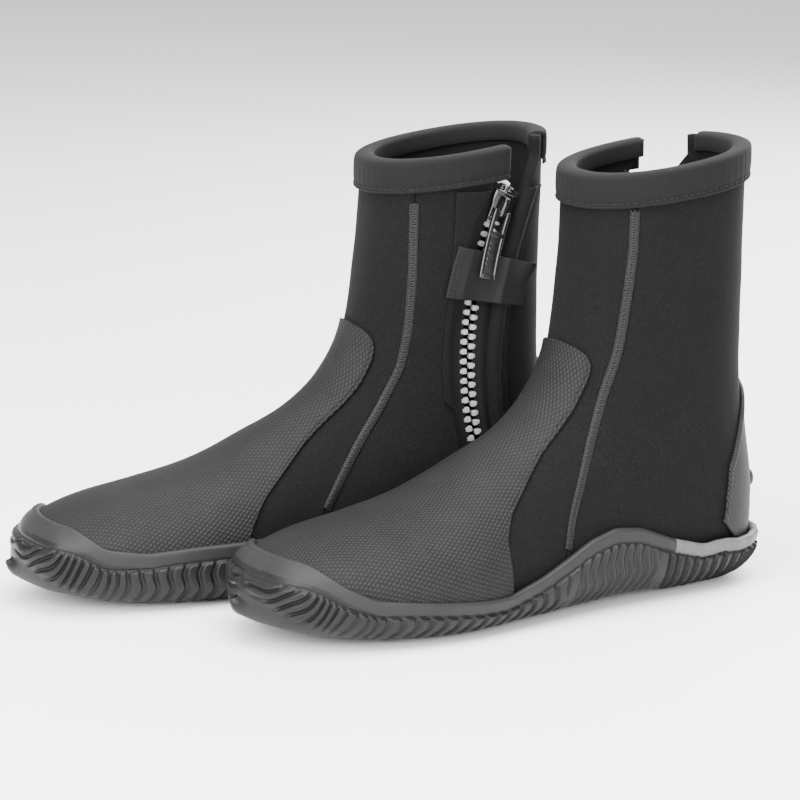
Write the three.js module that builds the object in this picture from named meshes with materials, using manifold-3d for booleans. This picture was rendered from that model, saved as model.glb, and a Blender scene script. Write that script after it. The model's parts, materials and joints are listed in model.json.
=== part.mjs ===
// A pair of 5 mm neoprene boots with a moulded rubber sole and a zip on the inner ankle.
// Units mm, +X to the toes, +Y to the wearer's left, +Z up. One left boot is described;
// the right boot is its mirror image, a step ahead and turned a little.
import * as THREE from "three";
import { mergeVertices } from "three/addons/utils/BufferGeometryUtils.js";
import Module from "manifold-3d";

const wasm = await Module();
wasm.setup();

// ---- driving dimensions ----
const NEOPRENE = 5; // thickness of the upper
const GAP = 0.45; // layer laid on a layer
const LAY = 0.75; // fabric laid on the curved upper
const SEAM_GAP = 0.5; // mm left between two butted panels
const HEEL_LAY = 1; // and round the tighter heel
const OVERLAY = 1.2; // rubberised toe and heel fabric
const WALL = 5; // rubber wall of the sole
const UNDERFOOT = 9; // rubber under the foot before the tread is cut flat
const INSOLE = 4; // loose footbed thickness
const BOARD_EDGE = 150; // degrees round the section where the upper turns under
const OVERLAY_EDGE = 135; // and where the coated fabric stops, under the rubber
const COLS = 24; // columns round a full section, 15 degrees each
const COLLAR_H = 15; // height of the collar binding outside
const COLLAR_IN = 8; // and inside
const BINDING = 1.6; // binding fabric thickness
const THREAD_W = 4; // width of an overlocked seam
const THREAD_T = 0.6;
// the zip follows one flat arc on the inner ankle
const ZIP = { x: -129, z: 112, r: 191, y: -31.4, top: 27.2, bottom: -13.2 };
const SLOT = 10.5; // half width of the slot between the rolled edges
const TAPE_W = 14.5; // zip centre to outer tape edge
const TAPE_T = 0.8;
const UNDER = 1.2; // tape to the curved neoprene over it
const TOOTH = { gap: 0.9, reach: 3.2, t: 3, pitch: 5, len: 2.8 };
const SLIDER = { at: 24.1, len: 15, w: 12, plate: 1.3, clear: 0.4 };
const PULL = { w: 9, len: 33, t: 1.8, bar: 1.6, window: 10.5, lean: 0.17 };
const PAIR = { dx: 66.5, dy: -97, yaw: -8, pivot: 147 }; // right boot from left boot

// stations of the upper: [top x, top z, bottom x, bottom z, half width out, half width in,
// share of the height under the widest line, roundness above, roundness below]
const STATIONS = [
  [286, 24, 286, 24, 0, 0, 0.5, 2.0, 2.4],
  [279, 38, 278, 17, 24, 25, 0.5, 2.0, 2.8],
  [268, 44, 267, 14, 35, 34, 0.5, 2.0, 3.0],
  [248, 50, 246, 10, 45, 41, 0.47, 2.0, 3.2],
  [222, 55, 218, 7, 51, 43, 0.44, 2.0, 3.2],
  [193, 63, 186, 6, 52, 42, 0.38, 2.0, 3.2],
  [166, 76, 154, 7, 47, 39, 0.34, 2.0, 3.1],
  [147, 86, 122, 8, 43, 37, 0.34, 2.0, 3.0],
  [135, 95, 88, 9, 41, 37, 0.36, 2.1, 2.8],
  [126, 105, 50, 8, 40, 38, 0.4, 2.2, 2.6],
  [119, 117, 15, 13, 40, 38, 0.46, 2.2, 2.4],
  [114, 130, 8, 42, 40, 37, 0.5, 2.2, 2.3],
  [111, 146, 12, 82, 39, 37, 0.5, 2.2, 2.2],
  [108, 168, 14, 125, 39, 38, 0.5, 2.2, 2.2],
  [106, 190, 13, 175, 39, 39, 0.5, 2.2, 2.2],
  [105, 212, 12, 224, 40, 40, 0.5, 2.2, 2.2],
];
const LAST = STATIONS.length - 1;
// seams of the upper seen from the side, [x, z], from the sole to the collar
const OUTER_SEAM = [[136, -10], [135, 28], [130, 50], [119, 72], [107, 99], [97, 128], [93, 154],
  [90, 178], [88, 240]];
const INNER_SEAM = [[150, -10], [147, 28], [141, 41], [129, 60], [120, 74], [108, 91], [97, 110],
  [93, 130], [91, 158], [89, 240]];
const BELOW_ZIP = [[44, -10], [50, 40]]; // where the back and inner panels meet under the slot
const LAP_LINE = [[10.2, 84], [10.5, 76], [11.6, 74], [12.9, 76], [13.5, 77], [15, 77]];
// rear edge of the coated toe fabric, [x, z], from the sole up to the tongue and back down
const TOE_OUT = [[166, 0], [168, 20], [170, 44], [164, 55], [152, 66], [137, 80], [126, 90], [117, 100],
  [110, 112], [107, 121], [109, 128], [115, 131]];
const TOE_IN = [[183, 0], [184, 28], [180, 38], [172, 50], [160, 61], [148, 72], [136, 82], [124, 92],
  [115, 102], [109, 113], [107, 121], [109, 128], [115, 131]];
// half width of the heel patch in degrees at each station
const HEEL_EDGE = [[9.6, 62], [10.4, 67], [11, 65], [11.4, 58], [11.75, 49], [12.1, 37], [12.35, 24],
  [12.55, 8]];
// top edge of the rubber wall, [x, z], outer side and inner side
const RIM_OUT = [[-20, 26], [25, 25], [37, 27], [51, 26], [71, 32], [90, 40], [105, 42], [120, 38],
  [134, 31], [150, 24], [170, 18], [186, 18.5], [210, 21], [241, 25], [256, 32], [270, 42], [300, 46]];
const RIM_IN = [[-20, 26], [25, 25], [37, 27], [51, 27], [71, 33], [90, 40], [105, 42], [120, 40],
  [140, 36], [160, 32], [185, 31], [210, 31], [235, 30], [256, 33], [270, 42], [300, 46]];
const GROUND = [[300, 19], [286, 12], [262, 6], [235, 2.5], [205, 0], [112, 0], [104, 4], [70, 4],
  [66, 0], [22, 0], [6, 2], [-4, 6], [-20, 12]];

// ---- the surface of the upper ----
const rad = (d) => (d * Math.PI) / 180;
const lerp = (a, b, u) => a + (b - a) * u;

function along(table, x) {
  if (x <= table[0][0]) return table[0][1];
  for (let i = 1; i < table.length; i++)
    if (x <= table[i][0])
      return lerp(table[i - 1][1], table[i][1],
        (x - table[i - 1][0]) / (table[i][0] - table[i - 1][0]));
  return table[table.length - 1][1];
}

function neighbour(i, k) {
  if (i < 0) {
    const s = STATIONS[1]; // the toe closes on itself: the section before it is turned over
    return [s[2], s[3] - 2, s[0], s[1], -s[4], -s[5], s[6], s[7], s[8]][k];
  }
  if (i > LAST) return 2 * STATIONS[LAST][k] - STATIONS[LAST - 1][k];
  return STATIONS[i][k];
}

function station(t) {
  const i = Math.min(LAST - 1, Math.floor(t));
  const u = t - i;
  return STATIONS[0].map((_, k) => {
    const [a, b, c, d] = [i - 1, i, i + 1, i + 2].map((j) => neighbour(j, k));
    return b + 0.5 * u * (c - a + u * (2 * a - 5 * b + 4 * c - d + u * (3 * (b - c) + d - a)));
  });
}

function bare(t, deg) {
  const [tx, tz, bx, bz, wo, wi, h, na, nb] = station(t);
  const [c, s] = [Math.cos(rad(deg)), Math.sin(rad(deg))];
  const n = c > 0 ? na : nb;
  const up = Math.sign(c) * Math.abs(c) ** (2 / n);
  const side = Math.sign(s) * Math.abs(s) ** (2 / n);
  const at = h + (c > 0 ? 1 - h : h) * up;
  return new THREE.Vector3(lerp(bx, tx, at), side * (s > 0 ? wo : wi), lerp(bz, tz, at));
}

function normal(t, deg) {
  if (t < 0.02) return new THREE.Vector3(1, 0, 0);
  const [a, b] = [Math.max(0.01, t - 0.01), Math.min(LAST, t + 0.01)];
  const along = bare(b, deg).sub(bare(a, deg));
  const round = bare(t, deg + 0.5).sub(bare(t, deg - 0.5));
  return round.cross(along).normalize();
}

const point = (t, deg, off = 0) => bare(t, deg).addScaledVector(normal(t, deg), off);

// ---- closed bodies ----
function body(points, faces) {
  const g = new THREE.BufferGeometry();
  g.setAttribute("position", new THREE.Float32BufferAttribute(points.flatMap((p) => [p.x, p.y, p.z]), 3));
  g.setIndex(faces.flat());
  return g;
}

// a body swept through rings of equal count, closed at both ends
function loft(rings) {
  const n = rings[0].length;
  const faces = [];
  for (let i = 0; i < rings.length - 1; i++)
    for (let j = 0; j < n; j++) {
      const [a, b] = [i * n + j, i * n + ((j + 1) % n)];
      faces.push([a, b, b + n], [a, b + n, a + n]);
    }
  const flat = (ring) => {
    const z = new THREE.Vector3();
    ring.forEach((p, i) => z.add(p.clone().sub(ring[0]).cross(ring[(i + 1) % n].clone().sub(ring[0]))));
    z.normalize();
    const x = ring[1].clone().sub(ring[0]);
    x.addScaledVector(z, -x.dot(z)).normalize();
    const y = z.clone().cross(x);
    const pts = ring.map((p) => new THREE.Vector2(p.clone().sub(ring[0]).dot(x), p.clone().sub(ring[0]).dot(y)));
    const cw = THREE.ShapeUtils.isClockWise(pts);
    return THREE.ShapeUtils.triangulateShape(pts, []).map((f) => (cw ? [f[0], f[2], f[1]] : f));
  };
  const top = (rings.length - 1) * n;
  for (const [a, b, c] of flat(rings[0])) faces.push([a, c, b]);
  for (const [a, b, c] of flat(rings[rings.length - 1])) faces.push([top + a, top + b, top + c]);
  return outward(body(rings.flat(), faces));
}

// turns the faces over if the body is inside out
function outward(g) {
  const p = g.attributes.position;
  const idx = g.index.array;
  const v = (i) => new THREE.Vector3().fromBufferAttribute(p, i);
  let vol = 0;
  for (let i = 0; i < idx.length; i += 3) vol += v(idx[i]).dot(v(idx[i + 1]).cross(v(idx[i + 2])));
  if (vol < 0) for (let i = 0; i < idx.length; i += 3) [idx[i + 1], idx[i + 2]] = [idx[i + 2], idx[i + 1]];
  return g;
}

// a thick sheet: place(u, v, skin) gives the point on the inner (0) or outer (1) skin
function sheet(us, vs, place) {
  const [m, n] = [us.length, vs.length];
  const pts = [];
  for (const skin of [0, 1]) for (const u of us) for (const v of vs) pts.push(place(u, v, skin));
  const id = (k, i, j) => k * m * n + i * n + j;
  const faces = [];
  const quad = (a, b, c, d) => faces.push([a, b, c], [a, c, d]);
  for (let i = 0; i < m - 1; i++)
    for (let j = 0; j < n - 1; j++) {
      quad(id(1, i, j), id(1, i + 1, j), id(1, i + 1, j + 1), id(1, i, j + 1));
      quad(id(0, i, j), id(0, i, j + 1), id(0, i + 1, j + 1), id(0, i + 1, j));
    }
  for (let i = 0; i < m - 1; i++) {
    quad(id(0, i, 0), id(0, i + 1, 0), id(1, i + 1, 0), id(1, i, 0));
    quad(id(0, i, n - 1), id(1, i, n - 1), id(1, i + 1, n - 1), id(0, i + 1, n - 1));
  }
  for (let j = 0; j < n - 1; j++) {
    quad(id(0, 0, j), id(1, 0, j), id(1, 0, j + 1), id(0, 0, j + 1));
    quad(id(0, m - 1, j), id(0, m - 1, j + 1), id(1, m - 1, j + 1), id(1, m - 1, j));
  }
  return outward(body(pts, faces));
}

const steps = (a, b, n) => Array.from({ length: n + 1 }, (_, i) => lerp(a, b, i / n));
const ROWS = [0.4, 0.9, 1.5, 2.2, 3, 4, 5, 5.6, 6.2, 6.8, 7.4, 8, 8.8, 9.5, 9.8, 10.1, 10.4, 10.7, 11,
  12, 13, 14, 15];
const rows = (a, b) => [a, ...ROWS.filter((t) => t > a + 0.05 && t < b - 0.05), b];

// a panel between two edges given as degrees at each station
const panel = (ts, n, from, to, inner, outer) =>
  sheet(ts, steps(0, 1, n), (t, v, skin) => point(t, lerp(from(t), to(t), v), skin ? outer : inner));

const CUTTER = (g) => {
  g.deleteAttribute("normal");
  g.deleteAttribute("uv");
  const m = mergeVertices(g, 1e-4);
  return new wasm.Manifold(new wasm.Mesh({
    numProp: 3, vertProperties: new Float32Array(m.attributes.position.array),
    triVerts: new Uint32Array(m.index.array),
  }));
};

function uncut(solid) {
  const mesh = solid.getMesh();
  const g = new THREE.BufferGeometry();
  g.setAttribute("position", new THREE.Float32BufferAttribute(mesh.vertProperties, mesh.numProp));
  g.setIndex(Array.from(mesh.triVerts));
  return g;
}

const box = (x, y, z, w, d, h) => new THREE.BoxGeometry(w, d, h).translate(x, y, z);

// side view outline turned into a block on one side of the boot
function sideBlock(outline, y0, y1) {
  const shape = new THREE.Shape(outline.map(([x, z]) => new THREE.Vector2(x, z)));
  const g = new THREE.ExtrudeGeometry(shape, { depth: y1 - y0, bevelEnabled: false });
  return CUTTER(g.rotateX(Math.PI / 2).translate(0, y1, 0));
}
const outside = (outline) => sideBlock(outline, 0, 90);
const inside = (outline) => sideBlock(outline, -90, 0);

// the whole boot up to one station, grown or shrunk by off; lift carries it on past the collar
function wholeBody(off, last = LAST, lift = 0) {
  const rings = ROWS.filter((t) => t <= last).map((t) =>
    Array.from({ length: COLS }, (_, j) => point(t, (360 * j) / COLS, off(t, (360 * j) / COLS))));
  if (lift) rings.push(rings[rings.length - 1].map((p) => p.clone().setZ(p.z + lift)));
  const nose = point(0, 0, off(0, 0));
  const pts = [nose, ...rings.flat()];
  const faces = rings[0].map((_, j) => [0, 1 + j, 1 + ((j + 1) % COLS)]);
  for (let i = 0; i < rings.length - 1; i++)
    for (let j = 0; j < COLS; j++) {
      const [a, b] = [1 + i * COLS + j, 1 + i * COLS + ((j + 1) % COLS)];
      faces.push([a, a + COLS, b + COLS], [a, b + COLS, b]);
    }
  const top = 1 + (rings.length - 1) * COLS;
  for (let j = 1; j < COLS - 1; j++) faces.push([top, top + j + 1, top + j]);
  return CUTTER(outward(body(pts, faces)));
}

// ---- the sole ----
// room the rubber leaves for what lies under it: coated fabric at the toe and at the heel
function roomInside(t, deg) {
  const layered = HEEL_LAY + OVERLAY + GAP;
  if (t < 5.7) return layered;
  if (t > 9.75 && Math.abs(deg - 180) < 80) return layered;
  return t < 6 ? lerp(layered, LAY, (t - 5.7) / 0.3) : LAY;
}

function outsole() {
  const outer = wholeBody(
    (t, deg) => WALL + (UNDERFOOT - WALL) * Math.max(0, -Math.cos(rad(deg))) ** 2, 12);
  const region = outside([...RIM_OUT, ...GROUND]).add(inside([...RIM_IN, ...GROUND]));
  return uncut(outer.intersect(region).subtract(wholeBody(roomInside, 12)));
}

const SOLE_END = 9.8; // the board stops where the heel turns up
const underfoot = rows(1.5, SOLE_END);
// plan outline of the board, grown or shrunk by a margin
function boardBlock(grow) {
  const edge = (deg) => underfoot.map((t) => bare(t, deg));
  const ring = [...edge(BOARD_EDGE).map((p) => [p.x, p.y + grow]),
    ...edge(-BOARD_EDGE).reverse().map((p) => [p.x, p.y - grow])];
  const mid = 140;
  const shape = new THREE.Shape(ring.map(([x, y]) => new THREE.Vector2(x + Math.sign(x - mid) * grow, y)));
  return CUTTER(new THREE.ExtrudeGeometry(shape, { depth: 40, bevelEnabled: false }).translate(0, 0, -10));
}

const neoprene = wholeBody(() => 0).subtract(wholeBody(() => -NEOPRENE, LAST, 20));
const upper = neoprene.subtract(boardBlock(SEAM_GAP));
const board = () => uncut(neoprene.intersect(boardBlock(0)).intersect(outside([[0, -10], [300, -10],
  [300, 26], [0, 26]]).add(inside([[0, -10], [300, -10], [300, 26], [0, 26]]))));
const insole = () => panel(rows(1.5, 9.5), 4, () => BOARD_EDGE + 4, () => 206,
  -NEOPRENE - GAP - INSOLE, -NEOPRENE - GAP);

// ---- the upper ----
const shift = (line, dx) => line.map(([x, z]) => [x + dx, z]);
const HALF = SEAM_GAP / 2;

// outline of the slot's front (1) or rear (-1) edge with the line under it, from the sole up
function slotEdge(side) {
  const edge = shift(BELOW_ZIP, side * HALF);
  const foot = BELOW_ZIP[1];
  for (const deg of [0, 30, 60, 85])
    edge.push([foot[0] + 3 + side * (HALF + (SLOT - HALF) * Math.sin(rad(deg))),
      foot[1] + 14 - 8 * Math.cos(rad(deg))]);
  for (const deg of steps(-15, 32, 12)) {
    const p = onZip(deg, side * SLOT, 0);
    edge.push([p.x, p.z]);
  }
  return edge;
}

const frontPanel = () => uncut(upper.intersect(
  outside([...shift(OUTER_SEAM, HALF), [400, 240], [400, -10]])
    .add(inside([...shift(INNER_SEAM, HALF), [400, 240], [400, -10]]))));
const backPanel = () => uncut(upper.intersect(
  outside([...shift(OUTER_SEAM, -HALF), [-60, 240], [-60, -10]])
    .add(inside([...slotEdge(-1), [-60, 260], [-60, -10]]))));
const innerPanel = () => uncut(upper.intersect(
  inside([...slotEdge(1), ...shift(INNER_SEAM, -HALF).reverse()])));

// degrees at station t where the surface is a given distance from the zip's centre line
function byZip(t, rho) {
  let [a, b] = [-150, -60];
  const miss = (deg) => {
    const p = point(t, deg);
    return Math.hypot(p.x - ZIP.x, p.z - ZIP.z) - ZIP.r - rho;
  };
  for (let i = 0; i < 30; i++) {
    const m = (a + b) / 2;
    if (miss(m) < 0) a = m;
    else b = m;
  }
  return (a + b) / 2;
}
const lap = (t) => -along(LAP_LINE, t);
const frontEdge = (t) => byZip(t, SLOT);
const rearEdge = (t) => byZip(t, -SLOT);

function toeOverlay() {
  const cloth = CUTTER(panel(rows(0.4, 11).concat(11.4), 18, () => -OVERLAY_EDGE, () => OVERLAY_EDGE,
    LAY, LAY + OVERLAY));
  const front = (edge) => [...edge, [300, 160], [300, 0]];
  return uncut(cloth.intersect(outside(front(TOE_OUT)).add(inside(front(TOE_IN)))));
}

const heelPatch = () => panel([10.1, 10.4, 10.7, 11, 11.5, 12, 12.3, 12.55], 10,
  (t) => 180 - along(HEEL_EDGE, t), (t) => 180 + along(HEEL_EDGE, t), HEEL_LAY, HEEL_LAY + OVERLAY);

// half round lug that keeps a fin strap from slipping down
function strapStop() {
  const skin = HEEL_LAY + OVERLAY + 0.35;
  const { rise, half, spread } = { rise: 4, half: 6, spread: 24 };
  return loft(steps(180 - spread, 180 + spread, 8).map((deg) => {
    const fade = Math.sqrt(Math.max(0.15, 1 - ((deg - 180) / spread) ** 2));
    return steps(0, 180, 6).map((a) => point(11.2 + (Math.cos(rad(a)) * half * fade) / 40, deg,
      skin + rise * fade * Math.sin(rad(a))));
  }));
}

// binding folded over the top edge of the collar, open at the zip
const topGap = (deg) => 35.5 - 13.5 * Math.cos(rad(deg)); // mm between the last two stations
// height of the collar's cut edge, a slanted plane through the last station
const rimHeight = (x) => {
  const [frontX, frontZ, backX, backZ] = STATIONS[LAST];
  return frontZ + ((frontX - x) * (backZ - frontZ)) / (frontX - backX);
};
function binding() {
  const from = frontEdge(LAST) + 0.7;
  const to = 360 + rearEdge(LAST) - 0.7;
  return loft(steps(from, to, 28).map((deg) => {
    const at = (drop, off) => point(LAST - drop / topGap(deg), deg, off);
    const lift = (up, off) => {
      const p = at(0, off);
      return p.setZ(rimHeight(p.x) + up);
    };
    const [o, i] = [LAY, -NEOPRENE - LAY - 0.2];
    return [at(COLLAR_H, o), at(COLLAR_H, o + BINDING), lift(-1, o + BINDING), lift(GAP + BINDING, o - 0.6),
      lift(GAP + BINDING, i + 0.6), lift(-1, i - BINDING), at(COLLAR_IN, i - BINDING), at(COLLAR_IN, i),
      lift(GAP, i), lift(GAP, o)];
  }));
}

// station and degrees of the surface at a side view position, on the outer (1) or inner (-1) side
function findSurface(x, z, side = -1) {
  let [t, deg, best] = [0, 0, 1e9];
  for (let i = 5; i <= LAST; i += 0.5)
    for (let a = 10; a <= 170; a += 10) {
      const p = bare(i, side * a);
      const miss = Math.hypot(p.x - x, p.z - z);
      if (miss < best) [t, deg, best] = [i, side * a, miss];
    }
  for (let i = 0; i < 12; i++) {
    const p = bare(t, deg);
    const [a, b] = [bare(t + 0.01, deg), bare(t, deg + 0.1)];
    const m = [(a.x - p.x) / 0.01, (b.x - p.x) / 0.1, (a.z - p.z) / 0.01, (b.z - p.z) / 0.1];
    const det = m[0] * m[3] - m[1] * m[2];
    t += ((x - p.x) * m[3] - (z - p.z) * m[1]) / det;
    deg += ((z - p.z) * m[0] - (x - p.x) * m[2]) / det;
    t = Math.min(LAST, Math.max(4, t));
  }
  return [t, deg];
}

// overlocked thread laid over a seam from one height to another
const BINDING_FOOT = (deg) => LAST - (COLLAR_H + 1) / topGap(deg);
function seamThread(line, side, z0, z1) {
  const byHeight = line.map(([x, z]) => [z, x]);
  return sheet(steps(z0, z1, 14), [-THREAD_W / 2, 0, THREAD_W / 2], (z, across, skin) => {
    const [x, dx] = [along(byHeight, z), along(byHeight, z + 1) - along(byHeight, z - 1)];
    const len = Math.hypot(dx, 2);
    const [t, deg] = findSurface(x + (across * 2) / len, z - (across * dx) / len, side);
    return point(t, deg, LAY * 0.7 + (skin ? THREAD_T : 0));
  });
}
const outerSeam = () => seamThread(OUTER_SEAM, 1, 37, 197);
const innerSeam = () => seamThread(INNER_SEAM, -1, 44, 193);
const FACING_T = 1.2;
const facing = (from, to) => panel([11, 12, 13, 14, 14.45], 2, from, to, LAY * 0.75, LAY * 0.75 + FACING_T);
const frontFacing = () => facing((t) => byZip(t, SLOT), (t) => Math.max(lap(t), byZip(t, SLOT) + 4));
const rearFacing = () => facing((t) => byZip(t, -SLOT - 9), (t) => byZip(t, -SLOT));

// ---- the zip ----
// a point on the zip: degrees along the arc from level, mm off the centre line, mm into the boot
const onZip = (deg, rho, depth) => new THREE.Vector3(ZIP.x + (ZIP.r + rho) * Math.cos(rad(deg)),
  ZIP.y + depth, ZIP.z + (ZIP.r + rho) * Math.sin(rad(deg)));
const MM = 180 / Math.PI / ZIP.r; // degrees of arc for one mm of chain

// block that follows the arc
const arcBlock = (a, b, r0, r1, y0, y1, n = 1) => loft(steps(a, b, n).map((deg) =>
  [[r0, y0], [r1, y0], [r1, y1], [r0, y1]].map(([r, y]) => onZip(deg, r, y))));

const under = (off, at) => point(...findSurface(at.x, at.z), off);
// woven tape from the teeth to under the neoprene
function tape(side) {
  return loft(steps(ZIP.bottom, ZIP.top, 12).map((deg) => {
    const near = TOOTH.reach + 0.3;
    const at = (rho, off) => under(-NEOPRENE - UNDER - off, onZip(deg, side * rho, 0));
    const flat = SLIDER.w / 2 + 0.6;
    return [onZip(deg, side * near, -TAPE_T / 2), onZip(deg, side * flat, -TAPE_T / 2), at(SLOT, 0),
      at(TAPE_W, 0.9), at(TAPE_W, TAPE_T + 0.9), at(SLOT, TAPE_T), onZip(deg, side * flat, TAPE_T / 2),
      onZip(deg, side * near, TAPE_T / 2)];
  }));
}

// one side of the chain: a bead with teeth that reach towards the other side
function teeth(side) {
  const { gap, reach, t, pitch, len } = TOOTH;
  const [a, b] = [ZIP.bottom + 2.5 * MM, ZIP.top - 6 * MM];
  const n = Math.floor((b - a) / (pitch * MM));
  const root = reach - 0.9;
  const comb = [[a, reach], [a, root]];
  for (let i = 0; i < n; i++) {
    const from = a + (i + (side > 0 ? 0.2 : 0.7)) * pitch * MM - (len / 2) * MM + 1.4 * MM;
    comb.push([from, root], [from, gap], [from + len * MM, gap], [from + len * MM, root]);
  }
  comb.push([b + 2 * MM, root], [b + 2 * MM, reach]);
  for (let k = 7; k > 0; k--) comb.push([lerp(a, b, k / 8), reach]);
  const outline = comb.map(([deg, r]) => onZip(deg, side * r, 0));
  const shape = new THREE.Shape(outline.map((p) => new THREE.Vector2(p.x, p.z)));
  const g = new THREE.ExtrudeGeometry(shape, { depth: t, bevelEnabled: false });
  return g.rotateX(Math.PI / 2).translate(0, ZIP.y + t / 2, 0);
}

const stop = (deg, side) => arcBlock(deg - 1.6 * MM, deg + 1.6 * MM, side * TOOTH.gap,
  side * (TOOTH.reach + 0.2), -2, 2);
const bottomStop = () => arcBlock(ZIP.bottom - 2 * MM, ZIP.bottom + 1.8 * MM, -TOOTH.reach, TOOTH.reach, -2, 2);

function join(parts) {
  return uncut(parts.map(CUTTER).reduce((a, b) => a.add(b)));
}

const PLATE_Y = TOOTH.t / 2 + SLIDER.clear + 0.3; // slider plate to the chain's mid plane
const BRIDGE = { half: 5, rise: 6, bar: 1.3, w: 2.4 };
const TOP_Y = -PLATE_Y - SLIDER.plate; // outer face of the slider's outer plate
function slider() {
  const { at, len, w, plate } = SLIDER;
  const [a, b] = [at - (len / 2) * MM, at + (len / 2) * MM];
  const plates = [1, -1].map((k) => arcBlock(a, b, -w / 2, w / 2, k * PLATE_Y, k * (PLATE_Y + plate), 3));
  const post = arcBlock(b - 4 * MM, b - 0.5 * MM, -0.5, 0.5, -PLATE_Y - 0.2, PLATE_Y + 0.2);
  const { half, rise, bar, w: bw } = BRIDGE;
  const leg = (deg) => arcBlock(deg - 0.8 * MM, deg + 0.8 * MM, -bw / 2, bw / 2, TOP_Y - rise, TOP_Y + 0.2);
  const deck = arcBlock(at - (half + 0.8) * MM, at + (half + 0.8) * MM, -bw / 2, bw / 2,
    TOP_Y - rise, TOP_Y - rise + bar);
  return join([...plates, post, leg(at - half * MM), leg(at + half * MM), deck]);
}

// pull tab: a crossbar under the bridge, two ears and a flat tab that leans out over the strap
function pull() {
  const { w, len, t, bar, window, lean } = PULL;
  const y = TOP_Y - BRIDGE.rise + BRIDGE.bar + GAP + bar / 2; // height of the crossbar
  const cross = SLIDER.at - (BRIDGE.half - 0.8 - 0.5 - bar / 2) * MM;
  const piece = (s0, s1, r0, r1, y0, y1) => loft(steps(s0, s1, 2).map((s) =>
    [[r0, y0], [r1, y0], [r1, y1], [r0, y1]].map(([r, d]) => onZip(cross - s * MM, r, y + d - s * lean))));
  // an ear is deep at its eye, round the crossbar, and thin along the tab
  const ear = (k) => loft([[-1.4, bar / 2], [1.6, bar / 2], [2.2, -0.4], [len / 2, -0.4], [len, -0.4]]
    .map(([s, y1]) => [[w / 2 - 2, -t - 0.4], [w / 2, -t - 0.4], [w / 2, y1], [w / 2 - 2, y1]]
      .map(([r, d]) => onZip(cross - s * MM, k * r, y + d - s * lean))));
  const pin = arcBlock(cross - (bar / 2) * MM, cross + (bar / 2) * MM, -w / 2 + 1, w / 2 - 1,
    y - bar / 2, y + bar / 2);
  const plate = piece(window, len - 3, -w / 2 + 1.5, w / 2 - 1.5, -t, -0.8);
  const foot = piece(len - 4, len - 0.3, -w / 2 + 1, w / 2 - 1, -t - 0.25, -0.55);
  return join([ear(1), ear(-1), pin, plate, foot]);
}

// ---- soft pieces round the zip ----
const arcSheet = (a, b, r0, r1, n, m, place) => sheet(steps(a, b, n), steps(r0, r1, m),
  (deg, rho, skin) => place(Object.assign(onZip(deg, rho, 0), { rho }), (rho - r0) / (r1 - r0), skin));

const GUSSET_T = 2;
const DIP = 6.3; // the gusset stands this far behind the upper to clear the slider
function gusset() {
  return arcSheet(ZIP.bottom + 1, ZIP.top - 3, 25, -20, 10, 6, (p, u, skin) => {
    const dip = Math.min(1, Math.max(0, (u - 0.14) / 0.19));
    return under(-NEOPRENE - LAY - 0.4 - dip * DIP - (skin ? 0 : GUSSET_T), p);
  });
}

const KEEPER = { low: 9.6, high: 17, front: 17, rear: -22, t: 1.6 };
const ON_FACING = LAY * 0.75 + FACING_T + GAP;
const LOOP_T = 0.9;
const SAG = 1.6; // the strap pulls straight across the slot
function keeper() {
  const { low, high, front, rear, t } = KEEPER;
  return arcSheet(low, high, front, rear, 4, 6, (p, u, skin) =>
    under(ON_FACING + (skin ? t : 0) - SAG * Math.max(0, 1 - (Math.abs(p.rho) / 9) ** 2) +
      (p.rho < -8 ? LOOP_T + GAP : 0) + 12 * Math.max(0, u - 0.83), p));
}

const loopPatch = () => arcSheet(KEEPER.low + 1, KEEPER.high - 1, -SLOT - 1, -SLOT - 8, 3, 2,
  (p, u, skin) => under(ON_FACING + (skin ? LOOP_T : 0), p));

const LABEL_OFF = -NEOPRENE - LAY - 0.4 - DIP + GAP; // just in front of the gusset
const label = () => arcSheet(ZIP.top - 6.5, ZIP.top + 1.5, -9, 4, 3, 2,
  (p, u, skin) => under(LABEL_OFF + (skin ? 0.4 : 0), p));

// ---- the assembly ----
const MATERIALS = {
  neoprene: [0x1c1c1e, 0.95], rubber: [0x2e2e30, 0.6], coated: [0x3a3c3e, 0.7], binding: [0x161617, 0.95],
  thread: [0x3c3c3e, 0.9], tape: [0x202022, 0.95], tooth: [0xa8a8a6, 0.35], gloss: [0x0b0b0c, 0.25],
  strap: [0x19191a, 0.8], board: [0x5a564e, 0.9], foam: [0x2a2a2c, 0.9], label: [0xf0f0ee, 0.8],
};

const PIECES = [
  ["outsole", outsole, "rubber"],
  ["strobel_board", board, "board"],
  ["insole", insole, "foam"],
  ["front_panel", frontPanel, "neoprene"],
  ["back_panel", backPanel, "neoprene"],
  ["inner_panel", innerPanel, "neoprene"],
  ["toe_overlay", toeOverlay, "coated"],
  ["heel_overlay", heelPatch, "coated"],
  ["fin_strap_stop", strapStop, "rubber"],
  ["collar_binding", binding, "binding"],
  ["outer_seam_thread", outerSeam, "thread"],
  ["inner_seam_thread", innerSeam, "thread"],
  ["zip_facing_front", frontFacing, "neoprene"],
  ["zip_facing_rear", rearFacing, "neoprene"],
  ["zip_tape_front", () => tape(1), "tape"],
  ["zip_tape_rear", () => tape(-1), "tape"],
  ["zip_teeth_front", () => teeth(1), "tooth"],
  ["zip_teeth_rear", () => teeth(-1), "tooth"],
  ["zip_top_stop_front", () => stop(ZIP.top - 0.2, 1), "gloss"],
  ["zip_top_stop_rear", () => stop(ZIP.top - 0.2, -1), "gloss"],
  ["zip_bottom_stop", bottomStop, "gloss"],
  ["zip_slider", slider, "gloss"],
  ["zip_pull", pull, "gloss"],
  ["zip_gusset", gusset, "neoprene"],
  ["keeper_strap", keeper, "strap"],
  ["keeper_loop_patch", loopPatch, "strap"],
  ["care_label", label, "label"],
];

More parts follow.
